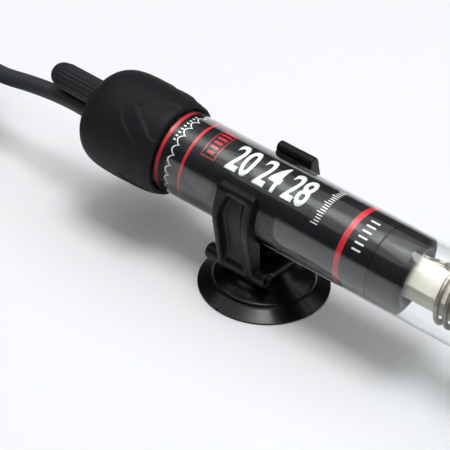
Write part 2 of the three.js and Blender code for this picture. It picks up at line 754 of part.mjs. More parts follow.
// ---------- clips and suction cups ----------
// One arm's outline on the +Y side: round the tube, then down to the base bar.
function armOutline(thickness, side) {
  const inner = TUBE_RADIUS + FIT;
  const outer = inner + thickness;
  const top = CLIP_LIP_ANGLE * deg;
  const foot = BASE_BAR_HEIGHT - AXIS_HEIGHT;
  const inside = arc(0, 0, inner, top, CLIP_HUG_ANGLE * deg, 6);
  const outside = arc(0, 0, outer, CLIP_TURN_ANGLE * deg, top, 5);
  const points = [
    ...inside,
    [baseBarSpread - 1, foot],
    [baseBarSpread - 1 + thickness, foot],
    ...outside,
  ];
  return points.map(([y, z]) => [side * y, z]);
}

function clipShape() {
  const foot = BASE_BAR_HEIGHT - AXIS_HEIGHT;
  const parts = [];
  const lipRadius = TUBE_RADIUS + FIT + CLIP_LIP + CLIP_LIP_OUT;
  for (const side of [-1, 1]) {
    parts.push(drawnOut(armOutline(CLIP_WEB, side), -CLIP_LEFT, CLIP_RIGHT));
    const rib = armOutline(CLIP_WEB + CLIP_RIB_HEIGHT, side);
    parts.push(drawnOut(rib, -CLIP_LEFT, -CLIP_LEFT + CLIP_RIB));
    parts.push(drawnOut(rib, CLIP_RIGHT - CLIP_RIB, CLIP_RIGHT));
    const lip = rod(CLIP_LIP, -CLIP_LEFT, CLIP_RIGHT, 10);
    const angle = CLIP_LIP_ANGLE * deg;
    parts.push(lip.translate(0, side * lipRadius * Math.cos(angle), lipRadius * Math.sin(angle)));
    parts.push(rod(BASE_BAR, -BASE_LEFT, BASE_RIGHT, 14).translate(0, side * baseBarSpread, foot));
  }
  for (const x of [-BASE_LEFT + CROSS_BAR, BASE_RIGHT - CROSS_BAR]) {
    const bar = rod(CROSS_BAR, -baseBarSpread, baseBarSpread, 10).rotateZ(Math.PI / 2);
    parts.push(bar.translate(x, 0, foot));
  }
  const seat = block(
    [-BASE_LEFT + CROSS_BAR, BASE_RIGHT - CROSS_BAR],
    [-baseBarSpread, baseBarSpread],
    [foot - SEAT_THICKNESS / 2, foot + SEAT_THICKNESS / 2],
  );
  parts.push(seat);
  const neckHole = rod(NECK_RADIUS + FIT, -4, 4, 20).rotateY(Math.PI / 2).translate(0, 0, foot);
  const barHoles = [-1, 1].map((side) => rod(BASE_BAR_HOLE, BASE_RIGHT - 6, BASE_RIGHT + 1)
    .translate(0, side * baseBarSpread, foot));
  return cut(join(...parts), neckHole, ...barHoles);
}

function tubeClip(name, station) {
  return piece(name, clipShape().translate(station, 0, 0), 'clip');
}

function suctionCup(name, station) {
  const seatUnder = BASE_BAR_HEIGHT - SEAT_THICKNESS / 2 - FIT;
  const seatOver = BASE_BAR_HEIGHT + SEAT_THICKNESS / 2 + FIT;
  const profile = [
    [CUP_HOLLOW, 0], [CUP_HOLLOW - 0.4, CUP_RADIUS * 0.4], [CUP_HOLLOW * 0.5, CUP_RADIUS * 0.7],
    [0, CUP_RADIUS - CUP_FLAT], [0, CUP_RADIUS], [0.6, CUP_RADIUS],
    [3.2, CUP_STEP_RADIUS], [3.9, CUP_STEP_RADIUS - 0.3], [6.9, CUP_STEP_RADIUS - 6.2],
    [8.8, HEAD_RADIUS + 2], [seatUnder, HEAD_RADIUS + 1], [seatUnder, NECK_RADIUS],
    [seatOver, NECK_RADIUS], [seatOver, HEAD_RADIUS], [seatOver + 1.4, HEAD_RADIUS - 0.4],
    [seatOver + 2.6, 2.2], [seatOver + 2.9, 0],
  ];
  const cup = turned(profile, 28).rotateY(-Math.PI / 2);
  return piece(name, cup.translate(station, 0, -AXIS_HEIGHT), 'cup');
}

// ---------- mains lead ----------
const exit = new THREE.Vector3(rimX - CAP_LENGTH - GLAND_PROUD - FIT, 0, AXIS_HEIGHT - CORD_DROP);

// Beyond the gland: steps along the tube, sideways, and the lead's height above the table.
const cordRun = [
  [0, 0, AXIS_HEIGHT - CORD_DROP],
  [-7.9, 0, 28.9],
  [-17.9, 0, 28.4],
  [-27.9, 0, 26.9],
  [-38.9, 0, 24.7],
  [-46.9, 1.6, 23.2],
  [-55.4, 5.6, 21.5],
  [-63.4, 10.6, 18.9],
  [-69.9, 12.6, 15.4],
  [-76.4, 13.2, 11.6],
  [-83.4, 13.1, 7.7],
  [-90.4, 12.8, 4.5],
  [-97.4, 12.7, 3],
  [-102.9, 12.6, CORD_DIAMETER / 2],
];

const laneStep = CORD_DIAMETER + TURN_GAP;
const hankOuter = HANK_INNER + HANK_HALVES * laneStep / 2;
const laneRadius = hankOuter + laneStep;
const [lastX, lastY] = cordRun.at(-1);
const hankStart = exit.x + lastX - FIT;
const hankCentre = new THREE.Vector3(hankStart - HANK_END + HANK_STRAIGHT / 2, lastY - laneRadius, 0);
const hankTop = 2 * cordRadius + (HANK_LAYERS - 1) * laneStep;
const plugHeight = hankTop + PLUG_REST + PLUG_SIZE[2] / 2;

// The stored lead: half turns round the two ends of a hank. Each layer winds in or out in turn,
// a half turn climbs to the next layer, and the last one rises to the plug on top.
function storedPoints() {
  const points = [new THREE.Vector3(hankStart, lastY, cordRadius)];
  const steps = LOOP_STEPS / 2;
  const halves = HANK_LAYERS * (HANK_HALVES + 1) - 1;
  let radius = laneRadius;
  let layer = 0;
  for (let i = 0; i < halves; i += 1) {
    const climbs = i % (HANK_HALVES + 1) === HANK_HALVES;
    const inwards = layer % 2 === 0 ? -1 : 1;
    const target = i === 0 ? hankOuter - laneStep / 2 : radius + (climbs ? 0 : inwards * laneStep / 2);
    const base = cordRadius + layer * laneStep;
    const rise = (climbs ? laneStep : 0) + (i === halves - 1 ? plugHeight - base : 0);
    for (let k = 0; k <= steps; k += 1) {
      const part = k / steps;
      const tuck = climbs ? inwards * CLIMB_TUCK * Math.sin(Math.PI * part) : 0;
      const reach = radius + (target - radius) * part + tuck;
      const angle = Math.PI * (0.5 + i + part);
      points.push(new THREE.Vector3(
        hankCentre.x + (i % 2 === 0 ? -1 : 1) * HANK_STRAIGHT / 2 + reach * Math.cos(angle),
        hankCentre.y + reach * Math.sin(angle),
        base + rise * part * part * (3 - 2 * part),
      ));
    }
    radius = target;
    layer += climbs ? 1 : 0;
  }
  const last = points.at(-1);
  points.push(new THREE.Vector3(last.x + HANK_END, last.y, last.z));
  return points;
}

function cordPieces() {
  const stored = storedPoints();
  console.log('cord_hank least gap to itself', leastGap(fine(stored), cordRadius, 24).toFixed(2), 'mm');
  const run = cordRun.map(([x, y, z]) => [exit.x + x, y, z]);
  const end = stored.at(-1);
  const tail = rod(cordRadius, FIT, PLUG_LEAD_LENGTH - FIT, 8).translate(end.x, end.y, end.z);
  return [
    piece('power_cord', tubeAlong(smooth(run), cordRadius, 22), 'cord'),
    piece('cord_hank', tubeThrough(stored, cordRadius, LOOP_SIDES), 'cord'),
    piece('plug_lead', tail, 'cord'),
    ...plugPieces(end.x + PLUG_LEAD_LENGTH, end.y, end.z),
    cordTie(),
  ];
}

// The same line with its long straight runs cut into short steps.
function fine(points) {
  const step = 2;
  return points.flatMap((point, i) => {
    const next = points[i + 1] ?? point;
    const count = Math.max(1, Math.round(point.distanceTo(next) / step));
    return Array.from({ length: count }, (_, k) => point.clone().lerp(next, k / count));
  });
}

// A band over all the runs, the arriving lead's among them.
function cordTie() {
  const near = hankOuter + cordRadius + TIE_SLACK;
  const far = laneRadius + cordRadius + TIE_SLACK;
  const height = hankTop + FIT;
  const outer = block(
    [-TIE_WIDTH / 2, TIE_WIDTH / 2],
    [-near - TIE_WALL, far + TIE_WALL],
    [0, height + TIE_WALL],
  );
  const inner = block([-TIE_WIDTH, TIE_WIDTH], [-near, far], [-1, height]);
  const band = cut(outer, inner).translate(hankCentre.x - TIE_STATION, hankCentre.y, 0);
  return piece('cord_tie', band, 'clip');
}

function plugPieces(x, y, z) {
  const [length, width, height] = PLUG_SIZE;
  const relief = turned([
    [0, 0], [0, cordRadius + 0.5], [RELIEF_LENGTH, cordRadius + 2.4], [RELIEF_LENGTH, 0],
  ], 14);
  const bodyStart = x + RELIEF_LENGTH + FIT;
  const corner = 5;
  const flat = new THREE.Shape();
  flat.moveTo(0, -corner);
  flat.lineTo(corner * 1.6, -width / 2);
  flat.lineTo(length, -width / 2);
  flat.lineTo(length, width / 2);
  flat.lineTo(corner * 1.6, width / 2);
  flat.lineTo(0, corner);
  const body = new THREE.ExtrudeGeometry(flat, { depth: height, bevelEnabled: false })
    .translate(bodyStart, y, z - height / 2);
  const pinStart = bodyStart + length + FIT;
  const pins = ['plug_pin_live', 'plug_pin_neutral'].map((name, i) => {
    const side = (i === 0 ? 1 : -1) * PLUG_PIN_SPREAD;
    const nose = PLUG_PIN_LENGTH - PLUG_PIN_RADIUS * 0.6;
    const pin = turned([
      [0, 0], [0, PLUG_PIN_RADIUS], [nose, PLUG_PIN_RADIUS],
      [PLUG_PIN_LENGTH, PLUG_PIN_RADIUS * 0.5], [PLUG_PIN_LENGTH, 0],
    ], 12);
    return piece(name, pin.translate(pinStart, y + side, z), 'steel');
  });
  return [
    piece('plug_strain_relief', relief.translate(x, y, z), 'cord'),
    piece('plug_body', body, 'cord'),
    ...pins,
  ];
}

// ---------- the assembly ----------
const heater = new THREE.Group();
heater.position.set(rimX, 0, AXIS_HEIGHT);
heater.add(
  glassTube(),
  headCap(),
  capSeal(),
  rubberBung(),
  spindleSeal(),
  cordGland(),
  cordInner(),
  adjustKnob(),
  knobSpindle(),
  adjustCam(),
  labelSleeve(),
  sleeveEndPiece(),
  chassisDisc(),
  thermostatBase(),
  post('bimetal_post', stripFixed, BASE_TOP + STRIP_RISE),
  bimetalStrip(),
  rivet('bimetal_rivet', stripFixed, BASE_TOP + STRIP_RISE, STRIP_THICKNESS),
  movingContact(),
  magnet(),
  leafPost(),
  contactLeaf(),
  rivet('leaf_rivet', leafFixed, leafPlane, LEAF_THICKNESS),
  fixedContact(),
  capacitor(),
  thermalFuse(),
  terminal('terminal_live', 1),
  terminal('terminal_neutral', -1),
  mainsLead('lead_live', 1),
  mainsLead('lead_neutral', -1),
  elementFeed(),
  elementReturn(),
  ceramicCore(),
  coreSpacer(),
  heatingCoil(),
  coilLead(),
  coilReturn(),
  tubeClip('near_clip', CLIP_STATION),
  tubeClip('far_clip', CLIP_STATION + CLIP_SPACING),
  suctionCup('near_cup', CLIP_STATION),
  suctionCup('far_cup', CLIP_STATION + CLIP_SPACING),
);

const part = new THREE.Group();
part.add(heater, ...cordPieces());

export default part;
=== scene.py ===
"""Submersible aquarium heater: the looks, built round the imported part. Metres, same frame."""
import json
import math

import bmesh
import bpy
import numpy as np
from mathutils import Matrix, Vector


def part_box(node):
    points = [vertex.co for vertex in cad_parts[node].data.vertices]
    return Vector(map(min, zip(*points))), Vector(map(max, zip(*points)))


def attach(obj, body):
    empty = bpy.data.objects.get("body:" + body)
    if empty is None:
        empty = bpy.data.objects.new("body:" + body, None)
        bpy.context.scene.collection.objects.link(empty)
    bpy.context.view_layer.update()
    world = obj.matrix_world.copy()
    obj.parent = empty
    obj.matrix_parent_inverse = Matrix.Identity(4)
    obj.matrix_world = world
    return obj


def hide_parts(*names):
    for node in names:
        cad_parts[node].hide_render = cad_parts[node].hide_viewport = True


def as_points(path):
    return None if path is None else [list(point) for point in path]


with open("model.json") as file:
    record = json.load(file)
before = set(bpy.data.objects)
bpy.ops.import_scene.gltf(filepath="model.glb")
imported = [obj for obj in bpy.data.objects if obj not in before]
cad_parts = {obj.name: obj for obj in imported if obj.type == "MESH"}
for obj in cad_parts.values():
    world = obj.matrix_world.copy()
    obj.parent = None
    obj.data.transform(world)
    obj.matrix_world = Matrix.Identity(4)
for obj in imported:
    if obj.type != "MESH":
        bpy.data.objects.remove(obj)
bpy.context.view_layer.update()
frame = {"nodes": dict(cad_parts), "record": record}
scene = bpy.context.scene
MM = 0.001
X, Y, Z = 0, 1, 2


# ---------- places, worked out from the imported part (millimetres) ----------
def ends(node, axis):
    """Lowest and highest place of a node at rest along one axis."""
    return [round(corner[axis] / MM, 2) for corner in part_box(node)]


def middle(node, axis):
    return round(sum(ends(node, axis)) / 2, 2)


def half(node, axis):
    """Half of a node's size along one axis: the radius of a round one."""
    low, high = ends(node, axis)
    return round((high - low) / 2, 2)


RIM_X = ends("head_cap", X)[1]
AXIS_Z = middle("glass_tube", Z)


def from_rim(x):
    """A place along the tube's axis, counted from the head's rim."""
    return round(x - RIM_X, 2)


def stations(node):
    """Where a node starts and ends along the tube's axis, from the head's rim."""
    return [from_rim(x) for x in ends(node, X)]


TUBE_R, TUBE_WALL = half("glass_tube", Y), 1.2
BORE_R = TUBE_R - TUBE_WALL
TUBE_IN, TUBE_TIP = stations("glass_tube")
CAP_LENGTH, CAP_R = -stations("head_cap")[0], half("head_cap", Y)
BUNG_FACE = stations("rubber_bung")[0]
KNOB_TIP, KNOB_BASE = stations("adjust_knob")
KNOB_R = half("adjust_knob", Y)
KNOB_LIFT = round(middle("adjust_knob", Z) - AXIS_Z, 2)
CORD_R = half("cord_inner_end", Y)
CORD_DROP = round(AXIS_Z - middle("cord_inner_end", Z), 2)
EXIT = (-102.8, 0.0, AXIS_Z - CORD_DROP)        # where the lead leaves the head
SLEEVE_FROM, SLEEVE_TO = stations("label_sleeve")
SLEEVE_R, SLEEVE_WALL = half("label_sleeve", Y), 0.5
SLEEVE_BORE = SLEEVE_R - SLEEVE_WALL
END_FROM, END_TO = stations("sleeve_end_piece")
CLIPS = {which: from_rim(middle(f"{which}_cup", X)) for which in ("near", "far")}
CLIP_LEFT, CLIP_RIGHT = 7.9, 5.7    # how far the arms reach to either side of the cup's middle
BAR_R, BAR_HOLE, BAR_Y = 2.6, 1.7, 10.3     # base bars: radius, their bore's radius, distance from the middle
BAR_Z = round(ends("near_clip", Z)[0] + BAR_R, 2)
BAR_FROM, BAR_TO = (round(s - CLIPS["near"], 2) for s in stations("near_clip"))


def linked(name, data):
    """A new object in the scene."""
    made = bpy.data.objects.new(name, data)
    scene.collection.objects.link(made)
    return made


# ---------- camera: the photograph's view, as measured about the near cup ----------
AZIMUTH, ELEVATION, ROLL = (math.radians(a) for a in (38.362, 37.537, 3.004))
DISTANCE, RIGHT_BY, UP_BY = 1036.35, -11.823, 17.572     # millimetres
FOCAL, PICTURE_WIDTH = 3419.04, 450                      # pixels
SENSOR_WIDTH = 36


def place_camera():
    across = Vector((math.cos(AZIMUTH), math.sin(AZIMUTH), 0))
    towards = Vector((math.sin(AZIMUTH), -math.cos(AZIMUTH), 0))
    back = towards * math.cos(ELEVATION) + Vector((0, 0, math.sin(ELEVATION)))
    level_up = Vector((0, 0, math.cos(ELEVATION))) - towards * math.sin(ELEVATION)
    right = across * math.cos(ROLL) + level_up * math.sin(ROLL)
    up = level_up * math.cos(ROLL) - across * math.sin(ROLL)
    place = back * DISTANCE + right * RIGHT_BY + up * UP_BY
    place += Vector((RIM_X + CLIPS["near"], 0, 0))
    data = bpy.data.cameras.new("camera")
    data.sensor_width = SENSOR_WIDTH
    data.lens = SENSOR_WIDTH * FOCAL / PICTURE_WIDTH
    data.clip_start, data.clip_end = 0.05, 20
    camera = linked("camera", data)
    camera.location = place * MM
    camera.rotation_euler = Matrix((right, up, back)).transposed().to_euler()
    scene.camera = camera


place_camera()


# ---------- node materials ----------
LOW_CUT, HIGH_CUT = 0.3, 0.7        # the part of a noise's range that is stretched to the full one


class Nodes:
    """A material under construction: a Principled shader and short ways to feed it."""

    def __init__(self, name, color, rough, **sockets):
        self.material = bpy.data.materials.new(name)
        self.material.use_nodes = True
        self.tree = self.material.node_tree
        self.shader = self.tree.nodes["Principled BSDF"]
        self.shader.inputs["Base Color"].default_value = (*color, 1)
        self.shader.inputs["Roughness"].default_value = rough
        for key, value in sockets.items():
            self.shader.inputs[key.replace("_", " ")].default_value = value
        self.material.diffuse_color = (*color, 1)

    def node(self, kind, **values):
        """A new node; each value goes to the setting or the input of that name."""
        made = self.tree.nodes.new("ShaderNode" + kind)
        for key, value in values.items():
            if hasattr(made, key):
                setattr(made, key, value)
            else:
                made.inputs[key.replace("_", " ")].default_value = value
        return made

    def link(self, source, target):
        self.tree.links.new(source, target)

    def place(self, scale=(1, 1, 1)):
        """The point on the object, in metres, stretched by scale."""
        coordinate = self.node("TexCoord")
        mapping = self.node("Mapping", Scale=scale)
        self.link(coordinate.outputs["Object"], mapping.inputs["Vector"])
        return mapping.outputs["Vector"]

    def noise(self, scale, detail=3, stretch=(1, 1, 1)):
        made = self.node("TexNoise", Scale=scale, Detail=detail)
        self.link(self.place(stretch), made.inputs["Vector"])
        return made.outputs["Fac"]

    def color(self, value, low, high):
        """Base colour between two tones."""
        made = self.node("ValToRGB")
        for stop, position, tone in zip(made.color_ramp.elements, (LOW_CUT, HIGH_CUT), (low, high)):
            stop.position = position
            stop.color = (*tone, 1)
        self.link(value, made.inputs["Fac"])
        self.link(made.outputs["Color"], self.shader.inputs["Base Color"])

    def rough(self, value, low, high):
        """Roughness between two values."""
        made = self.node("MapRange", clamp=True, From_Min=LOW_CUT, From_Max=HIGH_CUT,
                         To_Min=low, To_Max=high)
        self.link(value, made.inputs["Value"])
        self.link(made.outputs["Result"], self.shader.inputs["Roughness"])

    def bump(self, value, strength, depth):
        """Relief, with its depth in metres."""
        made = self.node("Bump", Strength=strength, Distance=depth)
        self.link(value, made.inputs["Height"])
        self.link(made.outputs["Normal"], self.shader.inputs["Normal"])
        return self


def srgb(r, g, b):
    """A colour as it reads on the screen, 0 to 255, in the renderer's linear values."""
    return tuple(((c / 255 + 0.055) / 1.055) ** 2.4 if c > 10 else c / 255 / 12.92 for c in (r, g, b))


def moulded(name, tone, rough, spread=0.08, grain=900, depth=0.02, low=0.85, shine=0.5):
    """Moulded rubber or plastic: slow shade changes, a fine grain and uneven gloss."""
    nodes = Nodes(name, tone, rough, Specular_IOR_Level=shine)
    darker = tuple(c * low for c in tone)
    lighter = tuple(min(1, c * (2 - low)) for c in tone)
    nodes.color(nodes.noise(60, 4), darker, lighter)
    nodes.rough(nodes.noise(140), rough - spread / 2, rough + spread / 2)
    return nodes.bump(nodes.noise(grain, 2), 0.35, depth * MM).material


def brushed(name, tone, rough):
    """Drawn or rolled metal with fine lines along the tube."""
    nodes = Nodes(name, tone, rough, Metallic=1.0)
    lines = nodes.noise(60, stretch=(1, 40, 40))
    nodes.color(lines, tuple(c * 0.8 for c in tone), tone)
    nodes.rough(lines, rough - 0.08, rough + 0.1)
    return nodes.bump(lines, 0.2, 0.02 * MM).material


def glass_material():
    """Clear glass with a trace of smear; lamps pass straight through to what is inside."""
    nodes = Nodes("glass", (0.97, 0.99, 0.985), 0.0, IOR=1.47, Transmission_Weight=1.0)
    nodes.bump(nodes.noise(9, 2), 0.02, 0.2 * MM)
    clear = nodes.node("BsdfTransparent", Color=(0.93, 0.94, 0.94, 1))
    path = nodes.node("LightPath")
    mix = nodes.node("MixShader")
    output = nodes.tree.nodes["Material Output"]
    nodes.link(path.outputs["Is Shadow Ray"], mix.inputs["Fac"])
    nodes.link(nodes.shader.outputs["BSDF"], mix.inputs[1])
    nodes.link(clear.outputs["BSDF"], mix.inputs[2])
    nodes.link(mix.outputs["Shader"], output.inputs["Surface"])
    return nodes.material


def winding_material():
    """Oxidised resistance wire: grey-brown, a little uneven from turn to turn."""
    nodes = Nodes("resistance_wire", srgb(168, 160, 148), 0.4, Metallic=0.85)
    nodes.color(nodes.noise(160, 4), srgb(126, 118, 108), srgb(186, 180, 168))
    nodes.rough(nodes.noise(500, 2), 0.32, 0.52)
    return nodes.bump(nodes.noise(1500, 2), 0.3, 0.02 * MM).material


def ceramic_material():
    """Ivory ceramic: faint mottling under a dull, slightly pitted skin."""
    nodes = Nodes("ceramic", srgb(226, 221, 209), 0.55)
    nodes.color(nodes.noise(220, 5), srgb(214, 208, 194), srgb(233, 229, 219))
    nodes.rough(nodes.noise(300), 0.48, 0.66)
    return nodes.bump(nodes.noise(1400), 0.35, 0.03 * MM).material


def laminate_material():
    """Brown paper laminate: a fine cross weave in colour and gloss."""
    nodes = Nodes("phenolic", srgb(104, 70, 42), 0.5)
    weave = nodes.node("TexWave", wave_type="BANDS", bands_direction="DIAGONAL", Scale=900.0, Distortion=2.0)
    nodes.link(nodes.place(), weave.inputs["Vector"])
    nodes.color(weave.outputs["Fac"], srgb(86, 56, 34), srgb(116, 80, 50))
    nodes.rough(nodes.noise(90), 0.42, 0.6)
    return nodes.bump(weave.outputs["Fac"], 0.15, 0.02 * MM).material


def ink(name, tone):
    """Screen-printed ink: slightly uneven cover and gloss."""
    nodes = Nodes(name, tone, 0.38)
    nodes.color(nodes.noise(400), tuple(c * 0.9 for c in tone), tone)
    nodes.rough(nodes.noise(700, 2), 0.3, 0.45)
    return nodes.bump(nodes.noise(2500, 2), 0.2, 0.005 * MM).material


# name, tone on the screen, roughness, and what differs from a plain moulding
MOULDINGS = [
    ("cap_rubber", (21, 22, 26), 0.62, dict(spread=0.1, grain=1400, depth=0.03, shine=0.22)),
    ("seal_rubber", (22, 22, 24), 0.55, {}),
    ("knob_plastic", (33, 34, 38), 0.5, dict(spread=0.1, grain=1600, shine=0.3)),
    ("cam_plastic", (214, 206, 188), 0.4, {}),
    ("printed_sleeve", (20, 21, 24), 0.28, dict(spread=0.01, grain=2200, depth=0.001, low=0.97, shine=0.3)),
    ("end_piece_plastic", (20, 20, 23), 0.36, dict(grain=1500, depth=0.01, shine=0.3)),
    ("magnet_ferrite", (62, 60, 60), 0.6, dict(spread=0.15, grain=1200, depth=0.03)),
    ("capacitor_case", (198, 172, 96), 0.35, {}),
    ("lead_insulation", (222, 220, 212), 0.5, {}),
    ("clip_plastic", (12, 12, 15), 0.4, dict(spread=0.12, grain=1500, depth=0.01, low=0.8, shine=0.25)),
    ("cup_rubber", (11, 11, 13), 0.24, dict(grain=1100, depth=0.002, low=0.8, shine=0.35)),
    ("cord_jacket", (50, 53, 57), 0.5, dict(spread=0.1, grain=800)),
    ("plug_plastic", (28, 29, 32), 0.4, dict(spread=0.1, grain=1300)),
]
METALS = [
    ("steel", (188, 190, 192), 0.3),
    ("bimetal", (176, 158, 132), 0.32),
    ("brass", (206, 168, 92), 0.3),
    ("pin_metal", (205, 200, 188), 0.22),
]
LOOKS = {name: moulded(name, srgb(*tone), rough, **more) for name, tone, rough, more in MOULDINGS}
LOOKS.update((name, brushed(name, srgb(*tone), rough)) for name, tone, rough in METALS)
LOOKS["glass"] = glass_material()
LOOKS["phenolic"] = laminate_material()
LOOKS["ceramic"] = ceramic_material()
LOOKS["resistance_wire"] = winding_material()
LOOKS["white_ink"] = ink("white_ink", srgb(236, 236, 236))
LOOKS["red_ink"] = ink("red_ink", srgb(196, 34, 48))

# every solid of the part gets its slot's material, also those that stay hidden inside
for row in frame["record"]["subparts"]:
    solid = frame["nodes"][row["node"]]
    solid.data.materials.clear()
    solid.data.materials.append(LOOKS[row["material_slot"]])


# ---------- mesh helpers: millimetres in, metres out ----------
def on_tube(point):
    """From (along, across, up) about the tube's axis at the head rim to the part's frame."""
    return (RIM_X + point[0], point[1], AXIS_Z + point[2])


def mesh_of(name, verts, faces, place=None):
    """A mesh in metres; place takes each point to the part's frame first."""
    mesh = bpy.data.meshes.new(name)
    if place:
        verts = [place(v) for v in verts]
    mesh.from_pydata([tuple(c * MM for c in v) for v in verts], [], faces)
    return mesh


def face_outwards(mesh, weld=False):
    work = bmesh.new()
    work.from_mesh(mesh)
    if weld:
        bmesh.ops.remove_doubles(work, verts=work.verts, dist=1e-7)
    bmesh.ops.recalc_face_normals(work, faces=work.faces)
    work.to_mesh(mesh)
    work.free()


def put(name, verts, faces, look, body="heater", stands_for=(), slot=None, sharp=35, place=None):
    """A finished piece: closed mesh, outward faces, smooth but for its sharp edges."""
    return dress(linked(name, mesh_of(name, verts, faces, place)), look, body, stands_for, slot, sharp)


def dress(piece, look, body, stands_for=(), slot=None, sharp=35):
    """Finishes a piece's faces, gives it its material, hangs it on its body and hides the part's solids it
    stands for.
    """
    face_outwards(piece.data, weld=True)
    piece.data.polygons.foreach_set("use_smooth", [True] * len(piece.data.polygons))
    piece.data.set_sharp_from_angle(angle=math.radians(sharp))
    piece.data.materials.clear()
    piece.data.materials.append(LOOKS[look])
    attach(piece, body)
    if stands_for:
        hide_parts(*stands_for)
    slot or look
    return piece


def apply_modifiers(piece):
    bpy.context.view_layer.update()
    result = bpy.data.meshes.new_from_object(piece.evaluated_get(bpy.context.evaluated_depsgraph_get()))
    piece.modifiers.clear()
    piece.data = result


def revolve(profile, sides=96, shift=None):
    """A shape turned about the X axis from (along, radius) points; zero radius makes a pole.
    shift(along, radius, angle) moves the surface in or out."""
    verts, rings = [], []
    for along, radius in profile:
        if radius < 1e-6:
            rings.append([len(verts)] * sides)
            verts.append((along, 0.0, 0.0))
            continue
        ring = []
        for k in range(sides):
            angle = 2 * math.pi * k / sides
            r = radius + (shift(along, radius, angle) if shift else 0)
            ring.append(len(verts))
            verts.append((along, r * math.cos(angle), r * math.sin(angle)))
        rings.append(ring)
    pairs = list(zip(rings, rings[1:]))
    if profile[0][1] > 1e-6 and profile[-1][1] > 1e-6:
        pairs.append((rings[-1], rings[0]))
    faces = []
    for first, second in pairs:
        for k in range(sides):
            n = (k + 1) % sides
            face = [first[k], first[n], second[n], second[k]]
            face = [v for i, v in enumerate(face) if v != face[i - 1]]
            if len(face) > 2:
                faces.append(face)
    return verts, faces


def ring_faces(rings, count, looped=False):
    """Faces from ring to ring of count points each; the two ends are closed unless the rings loop."""
    faces = []
    for i in range(rings if looped else rings - 1):
        j = (i + 1) % rings
        for k in range(count):
            n = (k + 1) % count
            faces.append([i * count + k, i * count + n, j * count + n, j * count + k])
    if not looped:
        faces.append(list(range(count))[::-1])
        faces.append([(rings - 1) * count + k for k in range(count)])
    return faces


def loft(sections, looped=False):
    """A closed skin through (x, outline) sections that have equally many points."""
    verts = [(x, y, z) for x, outline in sections for y, z in outline]
    return verts, ring_faces(len(sections), len(sections[0][1]), looped)


def merged(*shapes):
    """Several (verts, faces) shapes as one."""
    verts, faces = [], []
    for more_verts, more_faces in shapes:
        base = len(verts)
        verts += more_verts
        faces += [[i + base for i in face] for face in more_faces]
    return verts, faces


def moved(shape, x=0.0, y=0.0, z=0.0):
    return [(v[0] + x, v[1] + y, v[2] + z) for v in shape[0]], shape[1]


def round_profile(points, radius, steps):
    """An open outline with its inner corners rounded off."""
    result = [points[0]]
    for before, corner, after in zip(points, points[1:], points[2:]):
        b, c, a = Vector((*before, 0)), Vector((*corner, 0)), Vector((*after, 0))
        cut = min(radius, (b - c).length * 0.45, (a - c).length * 0.45)
        start, end = c + (b - c).normalized() * cut, c + (a - c).normalized() * cut
        for i in range(steps + 1):
            t = i / steps
            p = start * (1 - t) ** 2 + c * 2 * t * (1 - t) + end * t ** 2
            result.append((p.x, p.y))
    return result + [points[-1]]


def dense(points, step):
    """More points along straight runs of an outline, no further apart than step."""
    result = []
    for a, b in zip(points, points[1:]):
        count = max(1, math.ceil(math.dist(a, b) / step))
        result += [tuple(p + (q - p) * i / count for p, q in zip(a, b)) for i in range(count)]
    return result + [points[-1]]


def spline(points, step):
    """A smooth centripetal curve through the points, sampled about every step."""
    pts = [Vector(p) for p in points]
    pts = [pts[0] * 2 - pts[1]] + pts + [pts[-1] * 2 - pts[-2]]
    result = []
    for p0, p1, p2, p3 in zip(pts, pts[1:], pts[2:], pts[3:]):
        t1 = max((p1 - p0).length ** 0.5, 1e-4)
        t2 = t1 + max((p2 - p1).length ** 0.5, 1e-4)
        t3 = t2 + max((p3 - p2).length ** 0.5, 1e-4)
        count = max(1, round((p2 - p1).length / step))
        for i in range(count):
            t = t1 + (t2 - t1) * i / count
            a1 = p0 * ((t1 - t) / t1) + p1 * (t / t1)
            a2 = p1 * ((t2 - t) / (t2 - t1)) + p2 * ((t - t1) / (t2 - t1))
            a3 = p2 * ((t3 - t) / (t3 - t2)) + p3 * ((t - t2) / (t3 - t2))
            b1 = a1 * ((t2 - t) / t2) + a2 * (t / t2)
            b2 = a2 * ((t3 - t) / (t3 - t1)) + a3 * ((t - t1) / (t3 - t1))
            result.append(b1 * ((t2 - t) / (t2 - t1)) + b2 * ((t - t1) / (t2 - t1)))
    return result + [pts[-2]]


def sweep(points, radius, sides=16):
    """A tube along points; radius is a number or a function of the length so far."""
    verts = []
    normal, run = None, 0.0
    for i, point in enumerate(points):
        before, after = points[max(i - 1, 0)], points[min(i + 1, len(points) - 1)]
        tangent = (after - before).normalized()
        seed = normal or Vector((tangent.z, tangent.x, tangent.y))
        normal = (seed - tangent * seed.dot(tangent)).normalized()
        side = tangent.cross(normal)
        run += (point - before).length if i else 0
        r = radius(run) if callable(radius) else radius
        for k in range(sides):
            angle = 2 * math.pi * k / sides
            verts.append(tuple(point + normal * (math.cos(angle) * r) + side * (math.sin(angle) * r)))
    return verts, ring_faces(len(points), sides)


def ease(value, low, high):
    """0 below low, 1 above high, with a soft start and end between."""
    t = min(1.0, max(0.0, (value - low) / (high - low)))
    return t * t * (3 - 2 * t)


